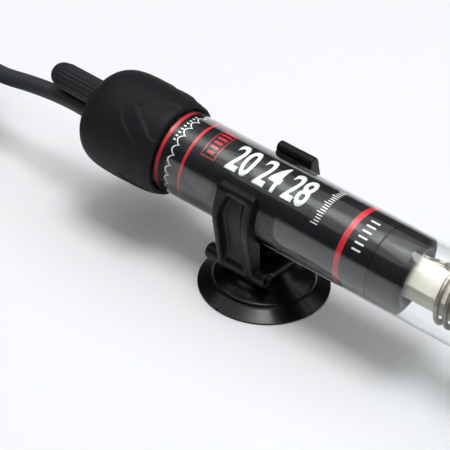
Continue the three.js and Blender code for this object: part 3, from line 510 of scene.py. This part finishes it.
# ---------- the mains lead, its plug and the stored hank ----------
# the free part's route from the exit: along the tube, across, and height above the table
FREE_ROUTE = [
    (0, 0, 28.4), (-7.9, 0, 28.9), (-17.9, 0, 28.4), (-27.9, 0, 26.9), (-38.9, 0, 24.7),
    (-46.9, 1.6, 23.2), (-55.4, 5.6, 21.5), (-63.4, 10.6, 18.9), (-69.9, 12.6, 15.4), (-76.4, 13.2, 11.6),
    (-83.4, 13.1, 7.7), (-90.4, 12.8, 4.5), (-97.4, 12.7, 3), (-102.9, 12.6, CORD_R),
]
HANK_MIDDLE = (-189.0, -18.45)              # along the tube, and across
HANK_INNER, HANK_HALF_RUN = 16.3, 19.0      # radius of the innermost half turn, half of a straight run
LANE = 5.9                                  # from run to run, sideways and upwards
LAYERS, HALVES = 3, 3                       # layers, and half turns in each before one that climbs
# where the lead goes into the plug
PLUG_AT = (ends("plug_strain_relief", X)[0], middle("plug_body", Y), middle("plug_body", Z))


def hank_route():
    """Half turns that wind in and out by half a lane each, layer on layer, and end at the plug's height."""
    outer = HANK_INNER + HALVES * LANE / 2
    radius, layer, steps, points = outer + LANE, 0, 12, []
    turns = LAYERS * (HALVES + 1) - 1
    for i in range(turns):
        climbs = i % (HALVES + 1) == HALVES
        inwards = -1 if layer % 2 == 0 else 1
        target = outer - LANE / 2 if i == 0 else radius + (0 if climbs else inwards * LANE / 2)
        base = CORD_R + layer * LANE
        rise = (LANE if climbs else 0) + (PLUG_AT[2] - base if i == turns - 1 else 0)
        middle_x = HANK_MIDDLE[0] + (-HANK_HALF_RUN if i % 2 == 0 else HANK_HALF_RUN)
        for k in range(steps + 1):
            part = k / steps
            tuck = inwards * math.sin(math.pi * part) if climbs else 0
            reach = radius + (target - radius) * part + tuck
            angle = math.pi * (0.5 + i + part)
            across = HANK_MIDDLE[1] + reach * math.sin(angle)
            points.append((middle_x + reach * math.cos(angle), across, base + rise * ease(part, 0, 1)))
        radius, layer = target, layer + climbs
    return points


def mains_lead():
    """The lead from the head to the plug: the piece, its path and its length, both in metres."""
    free = [(EXIT[0] + x, y, z) for x, y, z in FREE_ROUTE]
    points = spline(free, 4)[:-1] + spline([free[-1]] + hank_route() + [PLUG_AT], 4)
    lead = put("mains_lead", *sweep(points, CORD_R, 20), "cord_jacket",
               stands_for=("power_cord", "cord_hank", "plug_lead"))
    path = [tuple(p * MM) for p in points]
    length = sum(math.dist(a, b) for a, b in zip(path, path[1:]))
    return lead, path, length


def rounded_section(half_width, half_height, steps=6):
    """A rounded rectangle in Y and Z about the plug's axis."""
    corner = min(half_width, half_height) * 0.75
    points = []
    for quarter in range(4):
        sign_y = 1 if quarter in (0, 3) else -1
        sign_z = 1 if quarter in (0, 1) else -1
        for i in range(steps + 1):
            angle = math.pi / 2 * (quarter + i / steps)
            points.append((
                PLUG_AT[1] + sign_y * (half_width - corner) + corner * math.cos(angle),
                PLUG_AT[2] + sign_z * (half_height - corner) + corner * math.sin(angle),
            ))
    return points


def plug_relief():
    """The cone over the lead's end, with five raised rings."""
    rings, first, pitch = 5, 1.4, 2.8
    profile = [(0, 0), (0, 2.85), (0.3, 3.19)]
    for i in range(rings):
        at = first + i * pitch
        r = 3.2 + 1.9 * at / 16
        profile += [(at, r), (at + 1.5, r + 0.12), (at + 1.75, r - 0.45), (at + 2.5, r - 0.4)]
        profile.append((at + pitch, r + 0.2))
    profile += [(15.6, 5.06), (16, 4.85), (16, 0)]
    return put("plug_relief", *moved(revolve(profile, 48), *PLUG_AT), "plug_plastic",
               stands_for=("plug_strain_relief",), sharp=50)


def plug_shell():
    """The waisted body, as half width and half height along it."""
    start = ends("plug_body", X)[0]
    waist = [
        (0, 4.6, 4.6), (0.5, 5.1, 4.9), (3.5, 6.6, 5.3), (7, 11.2, 6.2), (9, 12.5, 6.6), (11, 12.98, 6.78),
        (18, 12.6, 6.75), (24, 12.7, 6.75), (29, 12.98, 6.78), (31.3, 12.9, 6.7), (31.8, 12.5, 6.4),
        (32, 12.0, 6.0),
    ]
    skin = loft([(start + along, rounded_section(width, height)) for along, width, height in waist])
    return put("plug_shell", *skin, "plug_plastic", stands_for=("plug_body",), sharp=40)


def plug_pin(node):
    """A round pin with a fine groove half way and a rounded tip."""
    profile = [(0, 0), (0, 2), (9.4, 2), (9.6, 1.85), (9.8, 2), (17.2, 2)]
    profile += [(18, 1.8), (18.7, 1.25), (19, 0.5), (19, 0)]
    shape = moved(revolve(profile, 32), ends(node, X)[0], middle(node, Y), middle(node, Z))
    return put(f"{node}_pin", *shape, "pin_metal", stands_for=(node,), sharp=40)


def cord_tie():
    """A soft strap over all the runs of the hank, its edges rounded and its face ribbed."""
    wall, corner, station = 1.0, 2.2, middle("cord_tie", X)
    near, far = (y + inset for y, inset in zip(ends("cord_tie", Y), (wall / 2, -wall / 2)))
    top = ends("cord_tie", Z)[1] - wall / 2
    line = dense(round_profile([(far, 0.05), (far, top), (near, top), (near, 0.05)], corner, 8), 0.6)
    across = [(-4, -0.2), (-3.7, -0.46), (3.7, -0.46), (4, -0.2), (4, 0.2), (3.7, 0.46)]
    across += [(3.7 - i * 0.37, 0.49 if i % 2 else 0.38) for i in range(1, 20)] + [(-3.7, 0.46), (-4, 0.2)]
    verts = []
    for i, (y, z) in enumerate(line):
        before, after = Vector(line[max(i - 1, 0)]), Vector(line[min(i + 1, len(line) - 1)])
        tangent = (after - before).normalized()
        for along, off in across:
            verts.append((station + along, y + tangent.y * off, max(z - tangent.x * off, 0.02)))
    faces = ring_faces(len(line), len(across))
    return put("tie_strap", verts, faces, "clip_plastic", stands_for=("cord_tie",), sharp=50)


lead, lead_path, lead_length = mains_lead()
on_lead = [plug_relief(), plug_shell(), plug_pin("plug_pin_live"), plug_pin("plug_pin_neutral"), cord_tie()]
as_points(lead_path)


# ---------- glass ----------
def glass_shell():
    """The closed tube: straight walls, a round tip and a fire-polished mouth."""
    turn, polish, straight = TUBE_TIP - TUBE_R, 0.35, TUBE_IN + 0.4
    bend = np.linspace(0, math.pi / 2, 25)[:-1]
    outer = [(turn + TUBE_R * math.sin(a), TUBE_R * math.cos(a)) for a in bend] + [(TUBE_TIP, 0.0)]
    inner = [(turn + BORE_R * math.sin(a), BORE_R * math.cos(a)) for a in bend] + [(turn + BORE_R, 0.0)]
    inner.reverse()
    mouth = [(straight, BORE_R), (TUBE_IN, BORE_R + polish), (TUBE_IN, TUBE_R - polish), (straight, TUBE_R)]
    shape = revolve(inner + mouth + outer, 160)
    return put("glass_shell", *shape, "glass", stands_for=("glass_tube",), place=on_tube, sharp=60)


# ---------- head ----------
PETALS, PETAL_TURN = 4, 116
SCOOP_DEPTH, SCALE_DEPTH = 0.46, 0.32
# creases of the scoops, as (station, degrees from the petal's middle)
UPPER_EDGE = [(-15.5, 4.0), (-12.7, 0.0), (-9.5, -9.0), (-7.0, -17.0), (-3.0, -27.0)]
LOWER_EDGE = [(-15.5, -4.0), (-12.7, 0.0), (-8.5, 9.5), (-4.8, 19.0), (-2.5, 26.0)]
SCALE_EDGE = [(-19.0, 4.0), (-15.5, 12.0), (-13.4, 21.6), (-8.4, 34.5), (-5.3, 40.0), (-3.0, 52.0)]
RIM_R = 14.9
LIP = [
    (-0.9, 14.93), (-0.35, 14.8), (-0.05, 14.45), (0.0, 14.1), (-0.12, 13.75), (-0.5, 13.45), (-1.3, 13.3),
]


def petals(s, radius, angle):
    """Shallow overlapping scoops in the head's outside, deepest near their edges."""
    if s <= -20 or radius < RIM_R:
        return 0
    period = 360 / PETALS
    turn = (math.degrees(angle) - PETAL_TURN + period / 2) % period - period / 2
    upper, lower, scale = (float(np.interp(s, *zip(*edge))) for edge in (UPPER_EDGE, LOWER_EDGE, SCALE_EDGE))
    near_rim = 1 - ease(s, -4.6, -2.0)
    depth = 0.0
    if s > -14.5:
        start = ease(s, -13.4, -11.6)
        inside = ease(turn, upper - 0.5, upper + 0.7) * (1 - ease(turn, lower - 1.4, lower + 1.0))
        depth -= SCOOP_DEPTH * start * inside * (0.6 + 0.4 * near_rim)
    open_scale = ease(s, -18.0, -13.0) * near_rim
    for t in (turn, turn + period):
        wide = max(10.0, scale - lower)
        slope = ease(t, scale - wide, scale) * (1 - ease(t, scale - 1.0, scale + 1.4))
        depth -= SCALE_DEPTH * open_scale * slope
    return depth


def head():
    """Soft rubber head: swollen body, moulded scoops, rounded lip, seats for the knob and the lead."""
    # shares of the full radius and of the length, from the crown's middle outwards
    crown = [(0, 1), (0.27, 1), (0.398, 0.99), (0.58, 0.969), (0.742, 0.93), (0.862, 0.874), (0.937, 0.804),
             (0.977, 0.72), (0.995, 0.616), (1, 0.5), (1, 0.3)]
    # shares of the swell above the rim's radius, and of the length
    taper = [(0.82, 0.188), (0.41, 0.075)]
    outline = [(-x * CAP_LENGTH, r * CAP_R) for r, x in crown]
    outline += [(-x * CAP_LENGTH, RIM_R + r * (CAP_R - RIM_R)) for r, x in taper] + [LIP[0]]
    outline = [(p.x, p.y) for p in spline([(*p, 0) for p in outline], 0.42)]
    outline = [(max(x, -CAP_LENGTH), min(r, CAP_R)) for x, r in outline]
    outline[0] = (-CAP_LENGTH, 0.0)
    pocket_r, pocket_end = 9.6, -29.1
    hollow = [(BUNG_FACE, LIP[-1][1]), (BUNG_FACE, pocket_r), (pocket_end, pocket_r), (pocket_end, 0.0)]
    shape = revolve(outline[:-1] + LIP + hollow, 288, petals)
    piece = put("head_rubber", *shape, "cap_rubber", stands_for=("head_cap",), place=on_tube, sharp=50)
    knob_seat = [(-40, 0), (-40, 4.9), (-33, 4.85), (-32.6, 4.7), (-32.2, 4.6), (-30.3, 4.6), (-30.3, 0)]
    spindle_seat = [(-31, 0), (-31, 1.8), (-28, 1.8), (-28, 0)]
    lead_seat = [(-40, 0), (-40, 3.65), (-32.8, 3.6), (-32.4, 3.5), (-28, 3.5), (-28, 0)]
    for seat, lift in ((knob_seat, KNOB_LIFT), (spindle_seat, KNOB_LIFT), (lead_seat, -CORD_DROP)):
        cut_away(piece, moved(revolve(seat, 64), z=lift))
    return dress(piece, "cap_rubber", "heater", sharp=50)


def cut_away(piece, shape):
    """Takes a closed shape, given about the tube's axis, out of a piece."""
    tool = linked("tool", mesh_of("tool", *shape, on_tube))
    face_outwards(tool.data)
    modifier = piece.modifiers.new("cut", "BOOLEAN")
    modifier.operation = "DIFFERENCE"
    modifier.solver = "EXACT"
    modifier.object = tool
    apply_modifiers(piece)
    bpy.data.objects.remove(tool)


def knob():
    """Ribbed knob with a smooth round tip; the ribs fade out towards the tip and the seat."""
    rib_depth, rib_count, nose_r, nose_length = 0.24, 20, 3.98, 4
    bore_r, bore_end = 1.8, -38.6

    def ribs(s, radius, angle):
        fade = ease(s, KNOB_TIP + 2.6, KNOB_TIP + 4.6) * (1 - ease(s, KNOB_BASE - 0.8, KNOB_BASE - 0.2))
        wave = 0.5 - 0.5 * math.cos(rib_count * angle)
        return -rib_depth * fade * wave ** 1.6

    swing = np.linspace(math.pi / 2, 0, 14)[1:-1]
    shoulder = KNOB_TIP + nose_length
    nose = [(shoulder - nose_length * math.sin(a), nose_r * math.cos(a)) for a in swing]
    body = [(shoulder, nose_r), (shoulder + 0.6, KNOB_R - 0.12), (shoulder + 1.6, KNOB_R),
            (KNOB_BASE - 0.5, KNOB_R), (KNOB_BASE - 0.1, KNOB_R - 0.15), (KNOB_BASE, KNOB_R - 0.4)]
    bore = [(KNOB_BASE, bore_r), (bore_end, bore_r), (bore_end, 0)]
    shape = moved(revolve([(KNOB_TIP, 0.0)] + nose + dense(body, 0.5) + bore, 240, ribs), z=KNOB_LIFT)
    return put("knob_grip", *shape, "knob_plastic", "knob", ("adjust_knob",), place=on_tube, sharp=50)


def gland():
    """The lead's collar, with a rounded mouth."""
    mouth, end = stations("cord_gland")
    inner, outer = CORD_R + 0.32, half("cord_gland", Y) - 0.02
    profile = [(end, inner), (mouth + 0.3, inner), (mouth + 0.1, inner + 0.05), (mouth, inner + 0.15),
               (mouth + 0.1, inner + 0.25), (mouth + 0.3, outer), (end, outer)]
    shape = moved(revolve(profile, 64), z=-CORD_DROP)
    return put("lead_collar", *shape, "seal_rubber", stands_for=("cord_gland",), place=on_tube)


# ---------- printed sleeve ----------
INK_R, INK_T = SLEEVE_R + 0.008, 0.03


def sleeve():
    """The printed sleeve inside the glass, its edges broken."""
    edge = 0.12
    profile = [
        (SLEEVE_FROM, SLEEVE_BORE + edge), (SLEEVE_FROM, SLEEVE_R - edge), (SLEEVE_FROM + edge, SLEEVE_R),
        (SLEEVE_TO - edge, SLEEVE_R), (SLEEVE_TO, SLEEVE_R - edge), (SLEEVE_TO, SLEEVE_BORE + edge),
        (SLEEVE_TO - edge, SLEEVE_BORE), (SLEEVE_FROM + edge, SLEEVE_BORE),
    ]
    shape = revolve(profile, 160)
    return put("sleeve_tube", *shape, "printed_sleeve", stands_for=("label_sleeve",), place=on_tube)


def lay(work, name, look, station, angle):
    """Bends a flat print, x along the tube and y up on the drawing, round the sleeve as a thin skin."""
    strip = 0.6
    low = min(v.co.y for v in work.verts)
    high = max(v.co.y for v in work.verts)
    at = math.ceil(low / strip) * strip
    while at < high:
        bmesh.ops.bisect_plane(work, geom=work.verts[:] + work.edges[:] + work.faces[:], dist=1e-5,
                               plane_co=(0, at, 0), plane_no=(0, 1, 0))
        at += strip
    extruded = bmesh.ops.extrude_face_region(work, geom=work.faces[:], use_keep_orig=True)
    for v in extruded["geom"]:
        if isinstance(v, bmesh.types.BMVert):
            v.co.z += INK_T
    bmesh.ops.recalc_face_normals(work, faces=work.faces)
    for v in work.verts:
        turn = math.radians(angle) - v.co.y / SLEEVE_R
        r = INK_R + v.co.z
        v.co = Vector(on_tube((station + v.co.x, r * math.cos(turn), r * math.sin(turn)))) * MM
    mesh = bpy.data.meshes.new(name)
    work.to_mesh(mesh)
    work.free()
    mesh.materials.append(LOOKS[look])
    piece = linked(name, mesh)
    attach(piece, "heater")
    return piece


def bars(boxes, name, look, station, angle):
    """Flat rectangles (x0, y0, x1, y1), laid on the sleeve as one print."""
    work = bmesh.new()
    for x0, y0, x1, y1 in boxes:
        corners = ((x0, y0, 0), (x1, y0, 0), (x1, y1, 0), (x0, y1, 0))
        work.faces.new([work.verts.new(corner) for corner in corners])
    return lay(work, name, look, station, angle)


def number(text, station, angle):
    """A plain scale numeral, scaled to its height and width and laid on the sleeve."""
    name, height, width = f"scale_{text}", 10.6, 8.4
    curve = bpy.data.curves.new(name, "FONT")
    curve.body = text
    curve.offset = 0.022        # bolder strokes
    curve.resolution_u = 4
    holder = linked(name, curve)
    bpy.context.view_layer.update()
    mesh = bpy.data.meshes.new_from_object(holder.evaluated_get(bpy.context.evaluated_depsgraph_get()))
    bpy.data.objects.remove(holder)
    work = bmesh.new()
    work.from_mesh(mesh)
    bpy.data.meshes.remove(mesh)
    bmesh.ops.remove_doubles(work, verts=work.verts, dist=1e-4)
    xs, ys = [v.co.x for v in work.verts], [v.co.y for v in work.verts]
    kx, ky = width / (max(xs) - min(xs)), height / (max(ys) - min(ys))
    for v in work.verts:
        v.co.x = (v.co.x - (max(xs) + min(xs)) / 2) * kx
        v.co.y = (v.co.y - (max(ys) + min(ys)) / 2) * ky
        v.co.z = 0
    return lay(work, name, "white_ink", station, angle)


def ring_band(name, start, end):
    profile = [(start, INK_R), (start, INK_R + INK_T), (end, INK_R + INK_T), (end, INK_R)]
    return put(name, *revolve(profile, 160), "red_ink", slot="printed_sleeve", place=on_tube)


def water_line():
    """The scalloped line: arcs towards the head, their cusps towards the tip, all the way round."""
    count, steps, width = 22, 10, 0.42
    cusp, rise = 5.75, 1.55
    verts = []
    for i in range(count):
        for k in range(steps):
            t = k / steps
            centre = cusp - rise * math.sin(math.pi * t) ** 0.75
            edge = width / 2 * (1 + 0.25 * abs(math.cos(math.pi * t)))
            turn = 2 * math.pi * (i + t) / count
            for s, r in ((centre - edge, INK_R), (centre + edge, INK_R),
                         (centre + edge, INK_R + INK_T), (centre - edge, INK_R + INK_T)):
                verts.append((s, r * math.cos(turn), r * math.sin(turn)))
    faces = ring_faces(count * steps, 4, looped=True)
    return put("water_line", verts, faces, "white_ink", slot="printed_sleeve", place=on_tube, sharp=60)


def print_on_sleeve():
    """Generic marks only: rings, a water line, a plain temperature scale and tick rows."""
    ring_band("ring_at_head", 0.2, 1.4)
    ring_band("ring_thin", 9.2, 10.2)
    ring_band("ring_wide", 68.6, 70.6)
    water_line()
    for i, text in enumerate(("20", "24", "28")):
        number(text, 27.0 + i * 10.6, 102)
    dashes = [(-0.45, -5.2 + i * 1.3, 0.45, -4.75 + i * 1.3) for i in range(9)]
    bars(dashes, "marks_at_line", "white_ink", 3.3, 101)
    sides = [(-2.6, -7, 2.6, -6.75), (-2.6, 6.75, 2.6, 7), (-2.6, -7, -2.35, 7), (2.35, -7, 2.6, 7)]
    bars(sides, "range_frame", "red_ink", 16.2, 92)
    steps = [(-1.1 - 0.18 * i, -5.6 + i * 1.9, 1.1 + 0.18 * i, -4.7 + i * 1.9) for i in range(6)]
    bars(steps, "range_steps", "red_ink", 16.2, 92)
    ticks = [(-1.9 if i % 4 else -2.6, -7.0 + i * 0.9, 0, -6.72 + i * 0.9) for i in range(17)]
    bars(ticks, "tick_row", "white_ink", 59.6, 103)
    levels = [(-1.6, -6.0 + i * 2.0, 1.6, -5.45 + i * 2.0) for i in range(6)]
    bars(levels, "level_bars", "white_ink", 74.6, 114)


# ---------- what stands in the sleeve's end ----------
def end_piece():
    """The sleeve's end: rounded nose, dished face, socket for the rod."""
    neck_r, nose_r, socket_r, collar = 10.55, 2.2, 6.9, SLEEVE_TO + 0.3
    neck = [(END_FROM, 0), (END_FROM, neck_r - 0.25), (END_FROM + 0.3, neck_r), (collar, neck_r),
            (collar, SLEEVE_R - 0.15), (collar + 0.12, SLEEVE_R)]
    nose = [(END_TO - nose_r * (1 - math.sin(a)), SLEEVE_R - nose_r * (1 - math.cos(a)))
            for a in np.linspace(0, math.pi / 2, 10)]
    # depth below the face, and radius
    dish = [(0, 8.7), (0.15, 8.4), (1.85, 7.35), (2.0, 7.15), (2.0, socket_r), (5, socket_r), (5, 0)]
    shape = revolve(neck + nose + [(END_TO - deep, r) for deep, r in dish], 128)
    return put("end_plug", *shape, "end_piece_plastic", stands_for=("sleeve_end_piece",),
               place=on_tube, sharp=50)


def core():
    """Eight-sided ceramic rod, its long edges softened, with a bore."""
    start, end, bevel = 87.85, 174.4, 0.25
    bore_r, corner_r, corner_turn = 1.7, 6.56, math.radians(27.5)
    outline = []
    for k in range(8):
        for part in (-1, 0, 1):
            reach = corner_r - 0.09 * abs(part)
            turn = corner_turn + 2 * math.pi * k / 8 + part * 0.055
            outline.append((reach * math.cos(turn), reach * math.sin(turn)))
    count = len(outline)
    turns = [2 * math.pi * k / count for k in range(count)]
    bore = [(bore_r * math.cos(turn), bore_r * math.sin(turn)) for turn in turns]
    bevelled = [(y * 0.965, z * 0.965) for y, z in outline]
    rings = [(start, bore), (start, bevelled), (start + bevel, outline),
             (end - bevel, outline), (end, bevelled), (end, bore)]
    shape = loft(rings, looped=True)
    return put("core_rod", *shape, "ceramic", stands_for=("ceramic_core",), place=on_tube, sharp=20)


def winding():
    """Resistance spring wound round the rod: every turn shows the fine wire's own turns."""
    mid, wire, start, pitch, loops = 7.8, 0.9, 103.4, 3.3, 20
    ridge, ridge_pitch = 0.1, 0.62
    steps = 300
    around = 2 * math.pi * mid
    end, last = start + loops * pitch, loops * around
    # (station, length run round the rod): a straight tail, the loops, a straight tail
    route = [(start - 3.8, -2.0), (start - 2, -2.0), (start - 0.6, -1.4)]
    route += [(start + i / steps * pitch, i / steps * around) for i in range(loops * steps + 1)]
    route += [(end + 0.6, last + 1.4), (end + 2, last + 2), (end + 3.8, last + 2)]
    line = []
    for x, run in route:
        angle = math.pi / 2 + run / mid
        line.append(Vector((x, mid * math.cos(angle), mid * math.sin(angle))))

    def ridged(run):
        return wire - ridge * (0.5 - 0.5 * math.cos(2 * math.pi * run / ridge_pitch))

    shape = sweep(line, ridged, 8)
    return put("winding", *shape, "resistance_wire", stands_for=("heating_coil",), place=on_tube, sharp=180)


for make in (glass_shell, head, knob, gland, sleeve, print_on_sleeve, end_piece, core, winding):
    make()


# ---------- clips ----------
FOOT = BAR_Z - AXIS_Z           # base bars, from the tube's axis
WEB, RIB = 1.1, 3.9             # an arm's thickness between and at its ribs
# the left rib's width at each share of the way from lip to foot
LEFT_RIB = [(0, 4.4), (0.12, 3.7), (0.24, 2.9), (0.36, 2.2), (0.5, 1.8), (1, 1.8)]
ARM_TOP = 31                    # degrees above the tube's middle
LIP_AT = 16.0                   # from the tube's axis
# radius, start and end of the rods that make a lip: the whole of it, a band and its thicker right half
LIP_RODS = [(1.8, -CLIP_LEFT, CLIP_RIGHT), (1.9, -0.4, 0.7), (1.87, 0.5, CLIP_RIGHT)]
CROSS_R = 1.9                   # the bars across, at either end of the base
SEAT_R, SEAT_HALF = 3.3, 1      # the cup's seat: its hole, and half of the plate's thickness


def arm_path(thickness):
    """Round the tube and down to the base bar, as (y, z) points, at one depth of the arm."""
    leaves_at = -16 if thickness else -38
    reach = TUBE_R + 0.3 + thickness
    turns = [math.radians(a) for a in np.linspace(ARM_TOP, leaves_at, 23)]
    line = [(reach * math.cos(a), reach * math.sin(a)) for a in turns]
    y0, z0 = line[-1]
    y1 = BAR_Y - 1 + thickness
    line += [(y0 + (y1 - y0) * t, z0 + (FOOT - z0) * t) for t in (0.1, 0.2, 0.3, 0.45, 0.6, 0.75, 0.9, 1)]
    return line + [(y1 - 0.9 if thickness else y1, FOOT - 2.4)]


def slab_faces(rows, count):
    """Faces of a bent slab: two sheets of rows by count points, joined round their edges."""
    faces = []
    sheet = count * rows
    for i in range(rows - 1):
        for k in range(count - 1):
            face = [i * count + k, i * count + k + 1, (i + 1) * count + k + 1, (i + 1) * count + k]
            faces += [face, [v + sheet for v in face[::-1]]]
        for k in (0, count - 1):
            a, b = i * count + k, (i + 1) * count + k
            faces.append([a, b, b + sheet, a + sheet])
    for i in (0, rows - 1):
        for k in range(count - 1):
            a = i * count + k
            faces.append([a, a + 1, a + 1 + sheet, a + sheet])
    return faces


def arm(side):
    """One arm: a web between two ribs, the left one spreading towards the lip, the right one sloping in."""
    inner, web, rib = (arm_path(t) for t in (0, WEB, RIB))
    widths = np.linspace(-CLIP_LEFT, CLIP_RIGHT, 55)
    back, face = [], []
    for i, (y, z) in enumerate(inner):
        share = i / (len(inner) - 1)
        left_edge = float(np.interp(share, *zip(*LEFT_RIB))) - CLIP_LEFT
        near_lip = 1 - ease(share, 0.0, 0.2)
        filled = max(0.1 * near_lip, 0.8 * ease(share, 0.87, 1.0))
        for x in widths:
            left = 1 - ease(x, left_edge - 0.35, left_edge + 0.75)
            right = ease(x, CLIP_RIGHT - 5.6, CLIP_RIGHT - 1.9)
            rise = max(left, right * (0.55 + 0.45 * right))
            rise += (1 - rise) * filled
            out_y, out_z = (w + (r - w) * rise * (1 + 0.25 * near_lip) for w, r in zip(web[i], rib[i]))
            back.append((x, side * y, z))
            face.append((x, side * out_y, out_z))
    return back + face, slab_faces(len(inner), len(widths))


def rod(radius, start, end, edge=0.35):
    """A round bar with rounded ends."""
    bend = edge * 0.3
    profile = [(start, 0), (start, radius - edge), (start + bend, radius - bend), (start + edge, radius),
               (end - edge, radius), (end - bend, radius - bend), (end, radius - edge), (end, 0)]
    return revolve(profile, 40)


def plate_with_hole(x, y, z, radius, sides=48):
    """A flat plate between the limits in x, y and z, with a round hole about the cup's axis."""
    hole, edge = [], []
    for k in range(sides):
        angle = 2 * math.pi * k / sides
        c, s = math.cos(angle), math.sin(angle)
        along = (x[1] if c > 0 else -x[0]) / max(abs(c), 1e-6)
        across = (y[1] if s > 0 else -y[0]) / max(abs(s), 1e-6)
        hole.append((radius * c, radius * s))
        edge.append((min(along, across) * c, min(along, across) * s))
    rings = ((hole, z[0]), (edge, z[0]), (edge, z[1]), (hole, z[1]))
    return [(*point, height) for ring, height in rings for point in ring], ring_faces(4, sides, looped=True)


def clip(which):
    """Moulded clip: webbed arms with raised ribs, rolled lips, tubular base bars and a seat plate."""
    lip_turn = math.radians(ARM_TOP)
    base_bar = [
        (BAR_FROM, 0), (BAR_FROM, 2.1), (BAR_FROM + 0.15, 2.45), (BAR_FROM + 0.5, BAR_R),
        (BAR_TO - 0.5, BAR_R), (BAR_TO - 0.15, 2.5), (BAR_TO, 2.25), (BAR_TO, 1.9),
        (BAR_TO - 0.2, BAR_HOLE), (BAR_TO - 6, BAR_HOLE), (BAR_TO - 6, 0),
    ]
    shapes = []
    for side in (-1, 1):
        shapes.append(arm(side))
        for radius, start, end in LIP_RODS:
            lip = rod(radius, start, end)
            shapes.append(moved(lip, y=side * LIP_AT * math.cos(lip_turn), z=LIP_AT * math.sin(lip_turn)))
        shapes.append(moved(revolve(base_bar, 48), y=side * BAR_Y, z=FOOT))
    crossings = (BAR_FROM + CROSS_R, BAR_TO - CROSS_R)
    for x in crossings:
        verts, faces = rod(CROSS_R, -BAR_Y, BAR_Y)
        shapes.append(([(x + v[1], v[0], FOOT + v[2]) for v in verts], faces))
    heights = (FOOT - SEAT_HALF, FOOT + SEAT_HALF)
    shapes.append(plate_with_hole(crossings, (-BAR_Y, BAR_Y), heights, SEAT_R))
    name, shape = f"{which}_clip_body", moved(merged(*shapes), x=CLIPS[which])
    piece = linked(name, mesh_of(name, *shape, on_tube))
    face_outwards(piece.data)
    remesh = piece.modifiers.new("one skin", "REMESH")
    remesh.mode = "VOXEL"
    remesh.voxel_size = 0.3 * MM
    soften = piece.modifiers.new("soft edges", "SMOOTH")
    soften.factor = 0.5
    soften.iterations = 5
    apply_modifiers(piece)
    return dress(piece, "clip_plastic", f"{which}_clip", (f"{which}_clip",), sharp=180)


# ---------- suction cups ----------
MOULD_LINES = (85.0, 175.0, 265.0, 355.0)
# height above the table and radius, from the hollow underside over the rim to the button head
CUP_OUTLINE = [
    (3.2, 0), (2.9, 8.1), (1.7, 14.2), (0.35, 18.3), (0.02, 18.8), (0.0, 20.0), (0.18, 20.27),
    (0.6, 20.25), (1.6, 18.5), (2.9, 16.25), (3.25, 15.85), (3.75, 15.6), (3.95, 15.25), (4.6, 13.6),
    (5.7, 11.2), (6.9, 9.5), (8.2, 7.4), (8.8, 6.4), (9.9, 5.7), (10.4, 5.2), (10.5, 4.8), (10.5, 3.2),
    (10.7, 3.0), (12.9, 3.0), (13.1, 3.2), (13.1, 4.1), (13.35, 4.4), (13.9, 4.35), (14.8, 3.9),
    (15.5, 3.0), (15.9, 1.8), (16.0, 0),
]


def groove(height, radius, angle):
    """The shallow mould lines down the skirt."""
    if not 0.5 < height < 5.0:
        return 0
    depth, half_width = 0.22, 1.3       # millimetres, degrees
    off = min(abs((math.degrees(angle) - at + 180) % 360 - 180) for at in MOULD_LINES)
    return -depth * max(0.0, 1 - off / half_width)


def cup(which):
    """Suction cup: thin skirt, stepped shoulder, four shallow mould grooves, neck and button head."""
    verts, faces = revolve(dense(CUP_OUTLINE, 0.5), 288, groove)
    verts = [(RIM_X + CLIPS[which] + v[1], v[2], v[0]) for v in verts]
    return put(f"{which}_cup_body", verts, faces, "cup_rubber", f"{which}_cup", (f"{which}_cup",), sharp=50)


for which in CLIPS:
    clip(which)
    cup(which)


# ---------- table, lamps, surroundings ----------
def table():
    """A plain white table, pale enough to read as the background."""
    reach, low = 3.0, -0.00005
    corners = [(-reach, -reach, low), (reach, -reach, low), (reach, reach, low), (-reach, reach, low)]
    mesh = bpy.data.meshes.new("table_top")
    mesh.from_pydata(corners, [], [(0, 1, 2, 3)])
    mesh.materials.append(Nodes("table_paint", (0.915, 0.93, 0.95), 0.8, Specular_IOR_Level=0.1).material)
    linked("table_top", mesh)


def lamp_above(name, middle, height, size, power):
    """A soft panel that faces straight down."""
    data = bpy.data.lights.new(name, "AREA")
    data.shape = "RECTANGLE"
    data.size, data.size_y = size
    data.energy = power
    linked(name, data).location = (*middle, height)


def surroundings(level):
    world = bpy.data.worlds.new("room")
    world.use_nodes = True
    scene.world = world
    world.node_tree.nodes["Background"].inputs["Color"].default_value = (level, level, level * 1.03, 1)


table()
surroundings(0.04)
lamp_above("panel", (0, 0.15), 1.2, (2.4, 2.3), 17.0)
lamp_above("key", (0, 0), 1.15, (0.45, 0.45), 6.5)

scene.view_settings.view_transform = "Standard"
